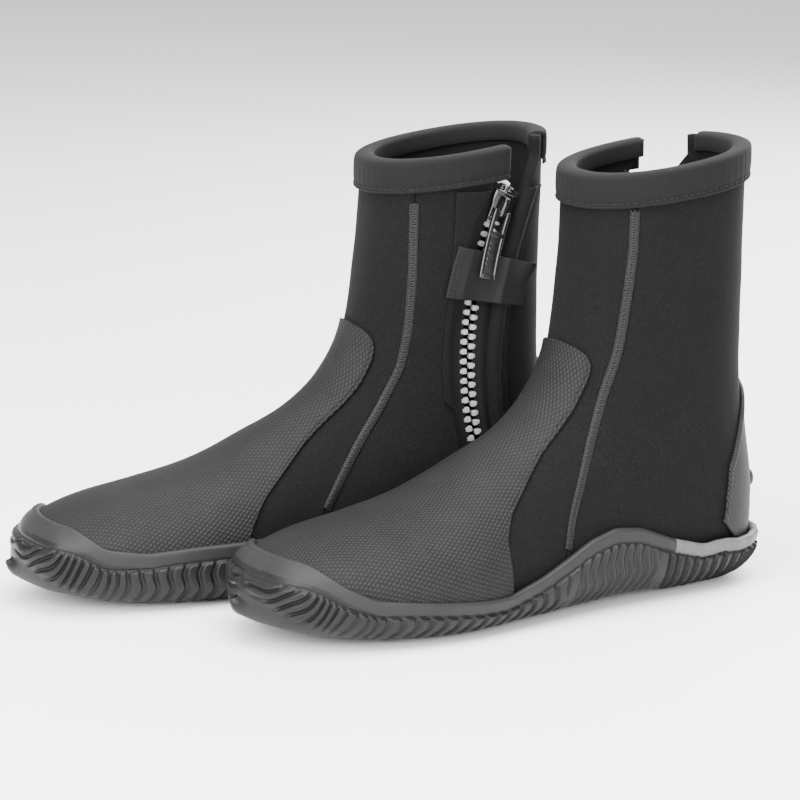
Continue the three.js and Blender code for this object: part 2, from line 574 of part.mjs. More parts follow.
function boot(side) {
  const g = new THREE.Group();
  for (const [name, make, look] of PIECES) {
    const [color, roughness] = MATERIALS[look];
    const mesh = new THREE.Mesh(make(), new THREE.MeshStandardMaterial({ color, roughness }));
    mesh.name = `${side}_${name}`;
    g.add(mesh);
  }
  return g;
}

const left = boot("left");
const right = new THREE.Group();
const mirrored = boot("right");
mirrored.scale.y = -1;
mirrored.position.x = -PAIR.pivot;
right.add(mirrored);
right.rotation.z = rad(PAIR.yaw);
right.position.set(PAIR.pivot + PAIR.dx, PAIR.dy, 0);

const pair = new THREE.Group();
pair.add(left, right);
pair.updateMatrixWorld(true);
const extent = new THREE.Box3().setFromObject(pair, true);
const middle = extent.getCenter(new THREE.Vector3());
pair.position.set(-middle.x, -middle.y, -extent.min.z);
const group = new THREE.Group();
group.add(pair);

export default group;
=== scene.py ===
# %% [markdown]
# # A pair of neoprene boots
# Each boot is 5 mm neoprene cut as three panels, sewn edge to edge, with a moulded rubber sole
# glued over the lower edge and a zip on the inner ankle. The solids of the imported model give
# every place and joint. Here each of them gets a finely shaped twin with stitching, ribs, teeth
# and cloth, made in code, so a size can be changed in one place and every piece follows.

import json
import math

import bpy
import numpy as np
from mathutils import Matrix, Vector
from mathutils.bvhtree import BVHTree


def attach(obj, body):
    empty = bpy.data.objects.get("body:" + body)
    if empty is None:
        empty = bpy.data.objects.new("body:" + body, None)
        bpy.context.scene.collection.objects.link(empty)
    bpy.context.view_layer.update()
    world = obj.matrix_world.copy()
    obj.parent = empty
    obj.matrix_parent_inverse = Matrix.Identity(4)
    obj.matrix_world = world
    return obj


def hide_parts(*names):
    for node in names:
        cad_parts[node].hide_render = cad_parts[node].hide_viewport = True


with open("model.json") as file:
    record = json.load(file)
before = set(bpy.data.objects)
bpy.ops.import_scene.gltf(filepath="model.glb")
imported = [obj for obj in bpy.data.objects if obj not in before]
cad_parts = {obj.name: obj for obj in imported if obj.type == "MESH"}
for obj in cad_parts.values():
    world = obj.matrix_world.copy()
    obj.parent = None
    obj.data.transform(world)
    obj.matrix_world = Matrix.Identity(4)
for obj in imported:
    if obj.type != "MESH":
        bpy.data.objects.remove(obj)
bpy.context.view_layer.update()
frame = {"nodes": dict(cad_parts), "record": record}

# %% [markdown]
# ## One boot, then its mirror image
# All shapes are worked out once, in millimetres, for a left boot with its heel near x = 0 and its
# toe along +x. `place` carries points to the left or the right boot. The sole mounts of the
# record say where each boot stands, so nothing is fitted by hand.

# %% Where each boot stands
MOUNTS = {m["name"]: np.array(m["pos_m"]) * 1000 for m in frame["record"]["mounts"]}
SOLE_X = 160  # the mount's place along the boot
YAW = -8  # degrees, how far the right boot is turned


def place(points, side):
    """Millimetres on the left boot to metres in the shared frame, on either boot."""
    p = np.array(points, float)
    if side == "left":
        return (p - [SOLE_X, 0, 0] + MOUNTS["left_sole"]) / 1000
    c, s = math.cos(math.radians(YAW)), math.sin(math.radians(YAW))
    x, y = p[..., 0] - SOLE_X, -p[..., 1]
    turned = np.stack([c * x - s * y, s * x + c * y, p[..., 2]], -1)
    return (turned + MOUNTS["right_sole"]) / 1000


# %% [markdown]
# ## The shape of the foot
# The upper is a stack of stations from the toe to the collar. Each joins a point on the ridge of
# the foot to a point on the sole or the heel, with a half width on both sides and a roundness.
# A smooth curve runs through the stations, so any place on the boot is two numbers: the station
# `t` and the angle `deg` round it, 0 on the ridge and 180 under the foot. The seams, the sole and
# the zip are all drawn on this one surface, and that keeps them in touch with each other.

# %% Stations and the surface through them
STATIONS = [  # ridge x, z, base x, z, half width out, in, widest height, roundness over, under
    [286, 24, 286, 24, 0, 0, 0.5, 2.0, 2.4],
    [279, 38, 278, 17, 24, 25, 0.5, 2.0, 2.8],
    [268, 44, 267, 14, 35, 34, 0.5, 2.0, 3.0],
    [248, 50, 246, 10, 45, 41, 0.47, 2.0, 3.2],
    [222, 55, 218, 7, 51, 43, 0.44, 2.0, 3.2],
    [193, 63, 186, 6, 52, 42, 0.38, 2.0, 3.2],
    [166, 76, 154, 7, 47, 39, 0.34, 2.0, 3.1],
    [147, 86, 122, 8, 43, 37, 0.34, 2.0, 3.0],
    [135, 95, 88, 9, 41, 37, 0.36, 2.1, 2.8],
    [126, 105, 50, 8, 40, 38, 0.4, 2.2, 2.6],
    [119, 117, 15, 13, 40, 38, 0.46, 2.2, 2.4],
    [114, 130, 8, 42, 40, 37, 0.5, 2.2, 2.3],
    [111, 146, 12, 82, 39, 37, 0.5, 2.2, 2.2],
    [108, 168, 14, 125, 39, 38, 0.5, 2.2, 2.2],
    [106, 190, 13, 175, 39, 39, 0.5, 2.2, 2.2],
    [105, 212, 12, 224, 40, 40, 0.5, 2.2, 2.2],
]
LAST = len(STATIONS) - 1
s1 = STATIONS[1]  # the toe closes on itself: the section before it is turned over
before = [s1[2], s1[3] - 2, s1[0], s1[1], -s1[4], -s1[5], *s1[6:]]
after = [2 * a - b for a, b in zip(STATIONS[-1], STATIONS[-2])]
TABLE = np.array([before, *STATIONS, after], float)


def bare(t, deg):
    """Points of the outer face of the neoprene."""
    t, deg = np.broadcast_arrays(np.asarray(t, float), np.asarray(deg, float))
    i = np.clip(np.floor(t).astype(int), 0, LAST - 1)
    u = (t - i)[..., None]
    a, b, c, d = (TABLE[i + k] for k in range(4))
    v = b + 0.5 * u * (c - a + u * (2 * a - 5 * b + 4 * c - d + u * (3 * (b - c) + d - a)))
    c, s = np.cos(np.radians(deg)), np.sin(np.radians(deg))
    n = np.where(c > 0, v[..., 7], v[..., 8])
    up, out = (np.sign(w) * np.abs(w) ** (2 / n) for w in (c, s))
    at = v[..., 6] + np.where(c > 0, 1 - v[..., 6], v[..., 6]) * up
    x, z = (v[..., k + 2] + (v[..., k] - v[..., k + 2]) * at for k in (0, 1))
    return np.stack([x, out * np.where(s > 0, v[..., 4], v[..., 5]), z], -1)


def outward(t, deg):
    """The direction straight out of the boot."""
    t = np.maximum(t, 0.012)
    along = bare(np.minimum(LAST, t + 0.01), deg) - bare(np.maximum(0.002, t - 0.01), deg)
    n = np.cross(bare(t, deg + 0.5) - bare(t, deg - 0.5), along)
    return n / np.maximum(1e-9, np.linalg.norm(n, axis=-1, keepdims=True))


def point(t, deg, off=0.0):
    """A point that stands off millimetres out from the neoprene's face."""
    t, deg = np.asarray(t, float), np.asarray(deg, float)
    return bare(t, deg) + outward(t, deg) * np.asarray(off, float)[..., None]


print("ridge at the ankle", point(10, 0).round(1), "heel", point(10.5, 180).round(1))

# %% [markdown]
# ## Lines on the surface
# Seams and edges are easiest to draw from the side, as x against z. `where` turns such a line
# into an angle at each station by halving an interval until the surface point lies on the line,
# and `find` gives the station and angle of any single point, by Newton's method.

# %% Lines seen from the side
OUTER_SEAM = [[136, -10], [135, 28], [130, 50], [119, 72], [107, 99], [97, 128], [93, 154],
              [90, 178], [88, 240]]
INNER_SEAM = [[150, -10], [147, 28], [141, 41], [129, 60], [120, 74], [108, 91], [97, 110],
              [93, 130], [91, 158], [89, 240]]
TOE_OUT = [[166, 0], [168, 20], [170, 44], [164, 55], [152, 66], [137, 80], [126, 90], [117, 100],
           [110, 112], [107, 121], [109, 128], [115, 131]]
TOE_IN = [[183, 0], [184, 28], [180, 38], [172, 50], [160, 61], [148, 72], [136, 82], [124, 92],
          [115, 102], [109, 113], [107, 121], [109, 128], [115, 131]]


def smooth_line(line, step=2.0):
    """A soft curve through the corners of a line, as x and z with z rising."""
    p = np.array(line, float)
    z = np.arange(p[0, 1], p[-1, 1], step)
    x = np.interp(z, p[:, 1], p[:, 0])
    for _ in range(12):
        x[1:-1] = (x[:-2] + 2 * x[1:-1] + x[2:]) / 4
    return x, z


def where(t, line, low, high, off=0.0):
    """The angle at which station t crosses a line given as x and z arrays."""
    x, z = line
    t = np.asarray(t, float)
    a, b = np.full(t.shape, float(low)), np.full(t.shape, float(high))
    for _ in range(26):
        m = (a + b) / 2
        p = point(t, m, off)
        ahead = p[..., 0] > np.interp(p[..., 2], z, x)
        a, b = np.where(ahead, m, a), np.where(ahead, b, m)
    return (a + b) / 2


GRID_T, GRID_A = np.meshgrid(np.arange(4.5, LAST + 0.01, 0.5), np.arange(8.0, 176, 8), indexing="ij")


def find(x, z, side):
    """Station and angle of the surface at a side view place, outer side 1 or inner side -1."""
    x, z = np.broadcast_arrays(np.asarray(x, float), np.asarray(z, float))
    flat = bare(GRID_T, side * GRID_A).reshape(-1, 3)
    miss = np.hypot(flat[:, 0] - x.reshape(-1, 1), flat[:, 2] - z.reshape(-1, 1))
    best = miss.argmin(1)
    t, deg = GRID_T.ravel()[best].astype(float), side * GRID_A.ravel()[best].astype(float)
    X, Z = x.ravel(), z.ravel()
    for _ in range(12):
        p, a, b = bare(t, deg), bare(t + 0.01, deg), bare(t, deg + 0.1)
        m = [(a[:, 0] - p[:, 0]) / 0.01, (b[:, 0] - p[:, 0]) / 0.1,
             (a[:, 2] - p[:, 2]) / 0.01, (b[:, 2] - p[:, 2]) / 0.1]
        det = m[0] * m[3] - m[1] * m[2]
        t = t + np.clip(((X - p[:, 0]) * m[3] - (Z - p[:, 2]) * m[1]) / det, -1, 1)
        deg = deg + np.clip(((Z - p[:, 2]) * m[0] - (X - p[:, 0]) * m[2]) / det, -20, 20)
        t = np.clip(t, 4, LAST - 0.011)
    return t.reshape(x.shape), deg.reshape(x.shape)


outer_seam, inner_seam = smooth_line(OUTER_SEAM), smooth_line(INNER_SEAM)
print("outer seam at the collar, degrees", where(np.array([14.9]), outer_seam, 0, 150).round(1))

# %% [markdown]
# ## Turning points into pieces
# A piece is a mesh built from arrays of points. `skin` makes a thick cloth from an outer and an
# inner grid of points and closes its edges, `rings` sweeps a closed section, and `add` makes the
# object for both boots, mirrored on the right, puts it in place of its solid and lets it ride on
# the same body. Every piece gets a map in millimetres, so a weave has its real size.

# %% Mesh tools
BODY = {"zip_slider": "slider", "zip_pull": "pull_tab", "keeper_strap": "strap"}
SIDES = ("left", "right")
made = {}


def mesh_object(name, points, faces, looks, uv=None, look_of=None, smooth=True):
    """A mesh object from points in metres; uv holds one pair of millimetres per point."""
    mesh = bpy.data.meshes.new(name)
    mesh.from_pydata(np.asarray(points).tolist(), [], [list(map(int, f)) for f in faces])
    for look in looks:
        mesh.materials.append(look)
    mesh.polygons.foreach_set("use_smooth", [smooth] * len(mesh.polygons))
    if look_of is not None:
        mesh.polygons.foreach_set("material_index", np.asarray(look_of, np.int32))
    if uv is not None:
        corners = np.zeros(len(mesh.loops), np.int32)
        mesh.loops.foreach_get("vertex_index", corners)
        layer = mesh.uv_layers.new(name="millimetres")
        layer.data.foreach_set("uv", np.asarray(uv, np.float32)[corners].ravel())
    mesh.update()
    obj = bpy.data.objects.new(name, mesh)
    bpy.context.scene.collection.objects.link(obj)
    return obj


def add(node, shape, looks, name=None, soft=None, smooth_angle=None):
    """The piece on both boots, riding in place of the solid of that name."""
    points, faces, extra = shape
    for side in SIDES:
        turned = faces if side == "left" else [f[::-1] for f in faces]
        obj = mesh_object(f"{side}_{name or node}_look", place(points, side), turned, looks, **extra)
        if smooth_angle:
            obj.data.set_sharp_from_angle(angle=math.radians(smooth_angle))
        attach(obj, f"{side}_{BODY.get(node, 'boot')}")
        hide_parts(f"{side}_{node}")
        if soft:
            soft(obj, side)
        made[obj.name] = obj
    print(node, len(points), "points")


def grid_faces(m, n, start=0, flip=False, ring=False):
    """Quads of a grid of m by n points; ring joins the last column to the first."""
    i, j = np.meshgrid(np.arange(m - 1), np.arange(n if ring else n - 1), indexing="ij")
    k = (j + 1) % n
    f = np.stack([i * n + j, i * n + k, (i + 1) * n + k, (i + 1) * n + j], -1).reshape(-1, 4) + start
    return (f[:, ::-1] if flip else f).tolist()


def skin(outer, inner, uv=None, drop=None):
    """A closed sheet from an outer and an inner grid; drop marks grid cells to leave out."""
    m, n = outer.shape[:2]
    points = np.concatenate([outer.reshape(-1, 3), inner.reshape(-1, 3)])
    keep = np.ones((m - 1, n - 1), bool) if drop is None else ~drop
    top = [f for f, k in zip(grid_faces(m, n), keep.ravel()) if k]
    under = [[v + m * n for v in f[::-1]] for f in top]
    count = {}
    for f in top:
        for a, b in zip(f, f[1:] + f[:1]):
            count[(a, b)] = count.get((a, b), 0) + 1
    rim = [[b, a, a + m * n, b + m * n] for a, b in count if (b, a) not in count]
    faces = top + under + rim
    used = np.unique(np.concatenate([np.ravel(f) for f in faces]).astype(int))
    new = np.full(len(points), -1)
    new[used] = np.arange(len(used))
    extra = {}
    if uv is not None:
        extra["uv"] = np.concatenate([uv.reshape(-1, 2)] * 2)[used]
    return points[used], [[new[v] for v in f] for f in faces], extra


def outside_out(shape):
    """Turns the faces over if the closed body is inside out."""
    p, faces, extra = shape
    tri = np.array([[f[0], f[k], f[k + 1]] for f in faces for k in range(1, len(f) - 1)])
    a, b, c = (p[tri[:, k]] for k in range(3))
    if np.einsum("ij,ij->i", a, np.cross(b, c)).sum() < 0:
        faces = [f[::-1] for f in faces]
    return p, faces, extra


def rings(sections, closed=False, uv=None):
    """A body swept through sections of equal count, capped at its ends unless it is closed."""
    s = np.asarray(sections, float)
    m, n = s.shape[:2]
    if closed:
        s = np.concatenate([s, s[:1]])
    faces = grid_faces(len(s), n, ring=True)
    if closed:
        faces = [[v % (m * n) for v in f] for f in faces]
    else:
        faces += [list(range(n))[::-1], [(m - 1) * n + k for k in range(n)]]
    extra = {} if uv is None else {"uv": np.asarray(uv).reshape(-1, 2)}
    return outside_out((s[:m].reshape(-1, 3), faces, extra))


def merged(shapes):
    """Several bodies as one piece."""
    points, faces, uvs, start = [], [], [], 0
    for p, f, extra in shapes:
        points.append(p)
        faces += [[v + start for v in q] for q in f]
        uvs.append(extra.get("uv", np.asarray(p)[:, [0, 2]]))
        start += len(p)
    return np.concatenate(points), faces, {"uv": np.concatenate(uvs)}


def tube(path, radius, sides=6, flatten=None):
    """A round thread along a path; flatten squeezes it against a direction at each point."""
    p = np.asarray(path, float)
    along = np.gradient(p, axis=0)
    along /= np.linalg.norm(along, axis=1, keepdims=True)
    up = flatten if flatten is not None else np.tile([0.0, 0.0, 1.0], (len(p), 1))
    across = np.cross(along, up)
    across /= np.maximum(1e-9, np.linalg.norm(across, axis=1, keepdims=True))
    rise = np.cross(across, along)
    a = np.arange(sides) * 2 * np.pi / sides
    r = np.broadcast_to(np.asarray(radius, float), (len(p),))[:, None, None]
    low = 0.6 if flatten is not None else 1.0
    ring = np.cos(a)[None, :, None] * across[:, None] + low * np.sin(a)[None, :, None] * rise[:, None]
    return rings(p[:, None] + r * ring)


def lengths(grid):
    """Millimetres along both directions of a grid of points."""
    du = np.linalg.norm(np.diff(grid, axis=1), axis=-1)
    dv = np.linalg.norm(np.diff(grid, axis=0), axis=-1)
    u = np.concatenate([np.zeros((len(grid), 1)), np.cumsum(du, 1)], 1)
    v = np.concatenate([np.zeros((1, grid.shape[1])), np.cumsum(dv, 0)], 0)
    return np.stack([u, v], -1)


def toward_edges(n, power=2.2):
    """Numbers from 0 to 1, closer together near both ends."""
    u = np.linspace(-1, 1, n)
    w = np.sign(u) * (1 - (1 - np.abs(u)) ** power)
    return (w + 1) / 2

# %% [markdown]
# ## Writing materials as sums
# A shader is a web of nodes, and most of them are plain arithmetic. A small class around a socket
# lets that arithmetic be written as Python, so `1 - ridge * 0.3` adds its own Math nodes. Colours
# go through Mix nodes, since a Math node would turn them grey.

# %% Sockets that can be added and multiplied
class Socket:
    """One output of a node, which can be used in a sum."""

    def __init__(self, look, socket):
        self.look, self.socket = look, socket

    def _math(self, operation, other, swap=False):
        a, b = (other, self) if swap else (self, other)
        if self.socket.type == "VECTOR":
            if operation == "MULTIPLY" and isinstance(other, (int, float)):
                b = (other,) * 3
                a = self
            return self.look.node("VectorMath", {"operation": operation}, [a, b])
        if self.socket.type == "RGBA":
            pair = [x if isinstance(x, Socket) else (x,) * 3 + (1,) for x in (a, b)]
            return self.look.mix(*pair, 1.0, operation)
        return self.look.node("Math", {"operation": operation}, [a, b])

    def __add__(self, other):
        return self._math("ADD", other)

    def __sub__(self, other):
        return self._math("SUBTRACT", other)

    def __mul__(self, other):
        return self._math("MULTIPLY", other)

    def __truediv__(self, other):
        return self._math("DIVIDE", other)

    def __pow__(self, other):
        return self._math("POWER", other)

    def __rsub__(self, other):
        return self._math("SUBTRACT", other, swap=True)

    def __rtruediv__(self, other):
        return self._math("DIVIDE", other, swap=True)

    __radd__, __rmul__ = __add__, __mul__


class Look:
    """A material around one Principled shader."""

    def __init__(self, name, **constants):
        self.material = bpy.data.materials.new(name)
        self.material.use_nodes = True
        self.tree = self.material.node_tree
        self.shader = self.tree.nodes["Principled BSDF"]
        for socket, value in constants.items():
            self.shader.inputs[socket.replace("_", " ")].default_value = value

    def node(self, kind, settings=None, inputs=(), out=0):
        """Adds a node of that kind; inputs are a list, or a dict by socket name."""
        node = self.tree.nodes.new("ShaderNode" + kind)
        for key, value in (settings or {}).items():
            if key == "stops":
                for k, (at, grey) in enumerate(value):
                    stop = node.color_ramp.elements[k] if k < 2 else node.color_ramp.elements.new(at)
                    stop.position, stop.color = at, (grey, grey, grey, 1)
            else:
                setattr(node, key, value)
        pairs = inputs.items() if isinstance(inputs, dict) else enumerate(inputs)
        for key, value in pairs:
            if isinstance(value, Socket):
                self.tree.links.new(value.socket, node.inputs[key])
            else:
                node.inputs[key].default_value = value
        return Socket(self, node.outputs[out])

    def mix(self, a, b, share, operation="MIX"):
        """Colour a turned towards colour b by a share."""
        names = {"ADD": "ADD", "SUBTRACT": "SUBTRACT", "MULTIPLY": "MULTIPLY", "MIX": "MIX"}
        settings = {"data_type": "RGBA", "blend_type": names[operation]}
        return self.node("Mix", settings, {0: share, 6: a, 7: b}, out=2)

    def feed(self, socket, value):
        """Links a value that changes over the surface to the shader."""
        self.tree.links.new(value.socket, self.shader.inputs[socket])
        return self

    def bump(self, height, millimetres, strength=1.0):
        """Raises the surface by that many millimetres where height is 1."""
        made = self.node("Bump", {}, {"Height": height, "Distance": millimetres / 1000,
                                      "Strength": strength})
        return self.feed("Normal", made)

    def noise(self, per_mm, detail=3.0, rough=0.55):
        """Grey noise with about that many blobs in a millimetre, from 0 to 1."""
        place = self.node("TexCoord", out=3)
        return self.node("TexNoise", {}, {"Vector": place, "Scale": per_mm * 1000,
                                          "Detail": detail, "Roughness": rough})

    def map_mm(self):
        """The piece's own map: millimetres across and along, as two values."""
        uv = self.node("UVMap", {"uv_map": "millimetres"})
        split = self.tree.nodes.new("ShaderNodeSeparateXYZ")
        self.tree.links.new(uv.socket, split.inputs[0])
        return Socket(self, split.outputs[0]), Socket(self, split.outputs[1])

    def math(self, operation, *values):
        return self.node("Math", {"operation": operation}, list(values))

    def wave(self, value, pitch):
        """From 0 to 1 and back in each pitch."""
        return self.math("SINE", value * (2 * math.pi / pitch)) * 0.5 + 0.5

    def ridge(self, value, pitch):
        """Sharp crests a pitch apart, 1 on the crest and 0 between."""
        return 1 - self.math("PINGPONG", value, pitch / 2) * (2 / pitch)

    def step(self, value, low, high):
        """0 below low, 1 above high, smooth between."""
        return self.node("MapRange", {"interpolation_type": "SMOOTHSTEP"},
                         {"Value": value, "From Min": low, "From Max": high})


def grey(value, tint=0.0):
    """A near grey colour, a little bluer for a positive tint."""
    return (value * (1 - tint), value, value * (1 + tint), 1)


# %% [markdown]
# ## Cloth and foam
# The upper is foamed neoprene with a thin knitted face. Its black yarn isn't even: fine flecks
# catch the light, and the whole panel is a touch lighter where it has been brushed. The knit is
# far too small to model, so it is a bump and a speckle made of noise, in real millimetres.

# %% Knitted neoprene, its lining and the binding cloth
def knitted(name, dark, light, fleck_mm=0.45, raise_mm=0.12, sheen=0.015):
    look = Look(name, Roughness=0.92, Sheen_Weight=sheen, Sheen_Roughness=0.5,
                Specular_IOR_Level=0.07)
    fleck = look.step(look.noise(1 / fleck_mm, 2, 0.7), 0.5, 0.72)
    cloud = look.noise(0.03, 4)
    colour = look.mix(grey(dark, 0.03), grey(light, 0.03), fleck * (0.35 + cloud * 0.6))
    loops = look.noise(1 / fleck_mm, 2) + look.noise(0.25 / fleck_mm, 2) * 0.5
    look.feed("Base Color", colour).feed("Roughness", 0.82 + fleck * 0.14)
    look.bump(loops, raise_mm)
    return look.material


neoprene_look = knitted("neoprene", 0.0022, 0.016)
gusset_look = knitted("gusset", 0.0025, 0.012, 0.5, 0.1)


def ribbed_cloth(name, dark, light, across, along, raise_mm, rough=0.85, shine=0.08):
    """A woven tape or stretch binding: ribs one way, picks the other."""
    look = Look(name, Roughness=rough, Sheen_Weight=0.02, Specular_IOR_Level=shine)
    u, v = look.map_mm()
    weave = look.wave(u + look.wave(v, along) * across * 0.5, across) * look.wave(v, along)
    grain = look.noise(2.5, 2)
    # the raised yarn of the weave is painted lighter than the hollows: painted highlight on the crests and
    # painted shade between them; the grain is random tone
    look.feed("Base Color", look.mix(grey(dark), grey(light), weave * 0.7 + grain * 0.3))
    look.feed("Roughness", rough - weave * 0.12)
    look.bump(weave + grain * 0.3, raise_mm)
    return look.material


binding_look = ribbed_cloth("binding", 0.0025, 0.012, 0.9, 0.7, 0.09)
tape_look = ribbed_cloth("tape", 0.003, 0.016, 1.1, 0.8, 0.18)
thread_look = ribbed_cloth("thread", 0.003, 0.013, 0.5, 0.5, 0.05, 0.4, 0.16)
board_look = ribbed_cloth("board", 0.06, 0.13, 1.4, 1.4, 0.12)
label_look = ribbed_cloth("label", 0.72, 0.86, 0.5, 0.5, 0.04)
footbed_look = knitted("footbed", 0.006, 0.03, 0.8, 0.2)


# %% [markdown]
# ## Coated cloth and rubber
# The toe cap is cloth with a thin rubber face, pressed into small diamonds. The sole and the heel
# are moulded, so they are smooth and a little glossier, with a faint random cloud of dust. The
# diamonds are the product of two slanted waves on the piece's own map.

# %% Pressed diamonds on the toe cloth
def pressed_cloth(name, dark, light, pitch, raise_mm):
    look = Look(name, Roughness=0.5, Specular_IOR_Level=0.09)
    u, v = look.map_mm()
    stud = look.ridge(u + v * 0.62, pitch) * look.ridge(u - v * 0.62, pitch)
    soft = look.noise(0.06, 4)
    grain = look.noise(6.0, 2)
    # the raised diamonds are painted lighter than the grooves: painted highlight on their tops and painted
    # shade between them; the soft cloud is random tone
    colour = look.mix(grey(dark, 0.02), grey(light, 0.02), stud * 0.75 + soft * 0.3)
    look.feed("Base Color", colour).feed("Roughness", 0.56 - stud * 0.16 + grain * 0.08)
    look.bump(look.math("MINIMUM", stud, 0.55) + grain * 0.05, raise_mm)
    return look.material


toe_cloth_look = pressed_cloth("toe_cloth", 0.004, 0.019, 2.3, 0.42)
strap_look = pressed_cloth("strap", 0.0035, 0.012, 1.1, 0.16)


def moulded(name, dark, light, rough, grain_mm=0.35, raise_mm=0.05, shine=0.13, **more):
    """Rubber or plastic from a mould, with a fine grain and faint dust."""
    look = Look(name, Roughness=rough, Specular_IOR_Level=shine, **more)
    grain, cloud = look.noise(1 / grain_mm, 3), look.noise(0.05, 4)
    look.feed("Base Color", look.mix(grey(dark), grey(light), cloud * 0.7 + grain * 0.3))
    look.feed("Roughness", rough - 0.06 + grain * 0.14)
    look.bump(grain, raise_mm)
    return look.material


sole_look = moulded("sole_rubber", 0.004, 0.013, 0.36)
rim_look = moulded("sole_rim", 0.009, 0.02, 0.44)
# the light grey of the heel rim is a painted highlight on the dark rubber edge
heel_rim_highlight_look = moulded("heel_rim", 0.05, 0.1, 0.42)
heel_look = moulded("heel_rubber", 0.006, 0.018, 0.45)
# the teeth are dark glossy plastic; their light grey base colour is a painted reflection of the lights
tooth_look = moulded("zip_teeth", 0.16, 0.3, 0.24, 0.8, 0.02, 0.5)
gloss_look = moulded("slider_plastic", 0.003, 0.007, 0.16, 1.2, 0.02, 0.4, Coat_Weight=0.3)
print("materials", len(bpy.data.materials))

# %% [markdown]
# ## The three panels of the upper
# Neoprene is cut flat, then sewn edge to edge, so the foam stays springy and every edge rolls in
# a little where the thread pulls it down. Each panel is a grid between its two seam lines, with
# an outer and an inner face 5 mm apart. The rows follow the stations and the columns crowd
# towards the seams, where the rounding is.

# %% The panels between their seams
NEOPRENE = 5.0
SLOT = 10.5
ZIP = {"x": -129, "z": 112, "r": 191, "y": -31.4, "top": 27.2, "bottom": -13.2}
BELOW_ZIP = [[44, -10], [50, 40]]


def on_zip(deg, rho, depth=0.0):
    """A place on the zip: degrees up its arc, mm off its centre line, mm into the boot."""
    deg, rho, depth = np.broadcast_arrays(*(np.asarray(v, float) for v in (deg, rho, depth)))
    a, r = np.radians(deg), ZIP["r"] + rho
    return np.stack([ZIP["x"] + r * np.cos(a), ZIP["y"] + depth, ZIP["z"] + r * np.sin(a)], -1)


def slot_edge(side):
    """The cut edge of the zip slot and the seam under it, in front 1 or behind -1."""
    edge = [[x + side * 0.2, z] for x, z in BELOW_ZIP]
    foot = BELOW_ZIP[1]
    for deg in (0, 20, 40, 60, 75, 85):
        a = math.radians(deg)
        edge.append([foot[0] + 3 + side * (0.2 + (SLOT - 0.2) * math.sin(a)),
                     foot[1] + 14 - 8 * math.cos(a)])
    edge += on_zip(np.linspace(-14.5, 34, 40), side * SLOT)[:, [0, 2]].tolist()
    e = np.array(edge)
    return e[:, 0], e[:, 1]


def rolled(across, radius, left=True, right=True):
    """How far the face drops near its two edges, as if rolled over a round of that radius."""
    d = np.full(across.shape, 99.0)
    if left:
        d = np.minimum(d, across)
    if right:
        d = np.minimum(d, across[:, -1:] - across)
    near = np.clip(1 - d / radius, 0, 1)
    return radius * (1 - np.sqrt(np.maximum(0, 1 - near**2)))


def softness(p):
    """Low waves of a soft panel that isn't quite tight, in millimetres."""
    x, y, z = p[..., 0], p[..., 1], p[..., 2]
    slow = np.sin(x / 17 + z / 29 + 1) * np.sin(y / 19 - z / 23) * 0.35
    return slow + np.sin(x / 7.5 - z / 11 + y / 13) * np.sin(z / 8.5 + y / 9) * 0.14


def panel(t, deg, roll=1.4, roll_in=0.5, drop=None, left=True, right=True):
    """A neoprene panel from its stations and a grid of angles."""
    rows = np.broadcast_to(np.asarray(t)[:, None], deg.shape)
    flat = point(rows, deg, 0)
    across = lengths(flat)[..., 0]
    down = rolled(across, roll, left, right)
    outer = point(rows, deg, softness(flat) - down)
    inner = point(rows, deg, -NEOPRENE + rolled(across, roll_in, left, right))
    return outside_out(skin(outer, inner, lengths(flat), drop))


def between(a, b, n, power=2.2):
    """A grid of angles from a to b at each station, closer together at the ends."""
    return a[:, None] + (b - a)[:, None] * toward_edges(n, power)[None, :]


NEAR = np.array([0, 0.25, 0.55, 0.95, 1.5, 2.3])  # degrees from an edge, where the rounding is


def columns(a, b, step=1.6):
    """Angles from a to b at each station: fixed ones inside, and a few that follow each edge."""
    fixed = np.arange(math.floor(a.min() / step) * step, b.max() + step, step)
    near = NEAR[None, :] * np.minimum(1, (b - a) / (2.3 * NEAR[-1]))[:, None]
    low, high = a[:, None] + near, (b[:, None] - near)[:, ::-1]
    inside = np.clip(fixed[None, :], low[:, -1:], high[:, :1])
    return np.concatenate([low, inside, high], 1)


def crowded(t0, t1, edges, n):
    """Stations closer together where an edge runs nearly along a row of the grid."""
    fine = np.linspace(t0, t1, 2500)
    moves = [np.abs(np.gradient(edge(fine))) for edge in edges]
    step = (t1 - t0) / 2500 * 40 + 0.4 * np.minimum(1.5, sum(moves))
    done = np.concatenate([[0], np.cumsum((step[1:] + step[:-1]) / 2)])
    return np.interp(np.linspace(0, done[-1], n), done, fine)


def thin_cells(deg):
    """Cells of no width, where several columns lie on one edge."""
    narrow = np.diff(deg, axis=1) < 0.003
    return narrow[:-1] & narrow[1:]


out_at = lambda t: where(t, outer_seam, 0, 150)
in_at = lambda t: where(t, inner_seam, 0, -150)
NOSE = [0.03, 0.1, 0.2, 0.32, 0.46, 0.62, 0.8]
foam = lambda o, s: o
t_front = np.concatenate([NOSE, crowded(1, LAST, [out_at, in_at], 230)])
front_deg = columns(in_at(t_front), out_at(t_front))
add("front_panel", panel(t_front, front_deg, drop=thin_cells(front_deg)), [neoprene_look],
    soft=foam)

rear_slot, front_slot = slot_edge(-1), slot_edge(1)
behind_at = lambda t: 360 + where(t, rear_slot, 0, -150)
t_back = crowded(6.5, LAST, [out_at, behind_at], 200)
back_deg = columns(out_at(t_back), behind_at(t_back), 1.5)
under_foot = (t_back[:-1, None] < 9.7) & (back_deg[:-1, :-1] > 149.4) & (back_deg[:-1, 1:] < 210.6)
add("back_panel", panel(t_back, back_deg, drop=under_foot | thin_cells(back_deg)), [neoprene_look],
    soft=foam)

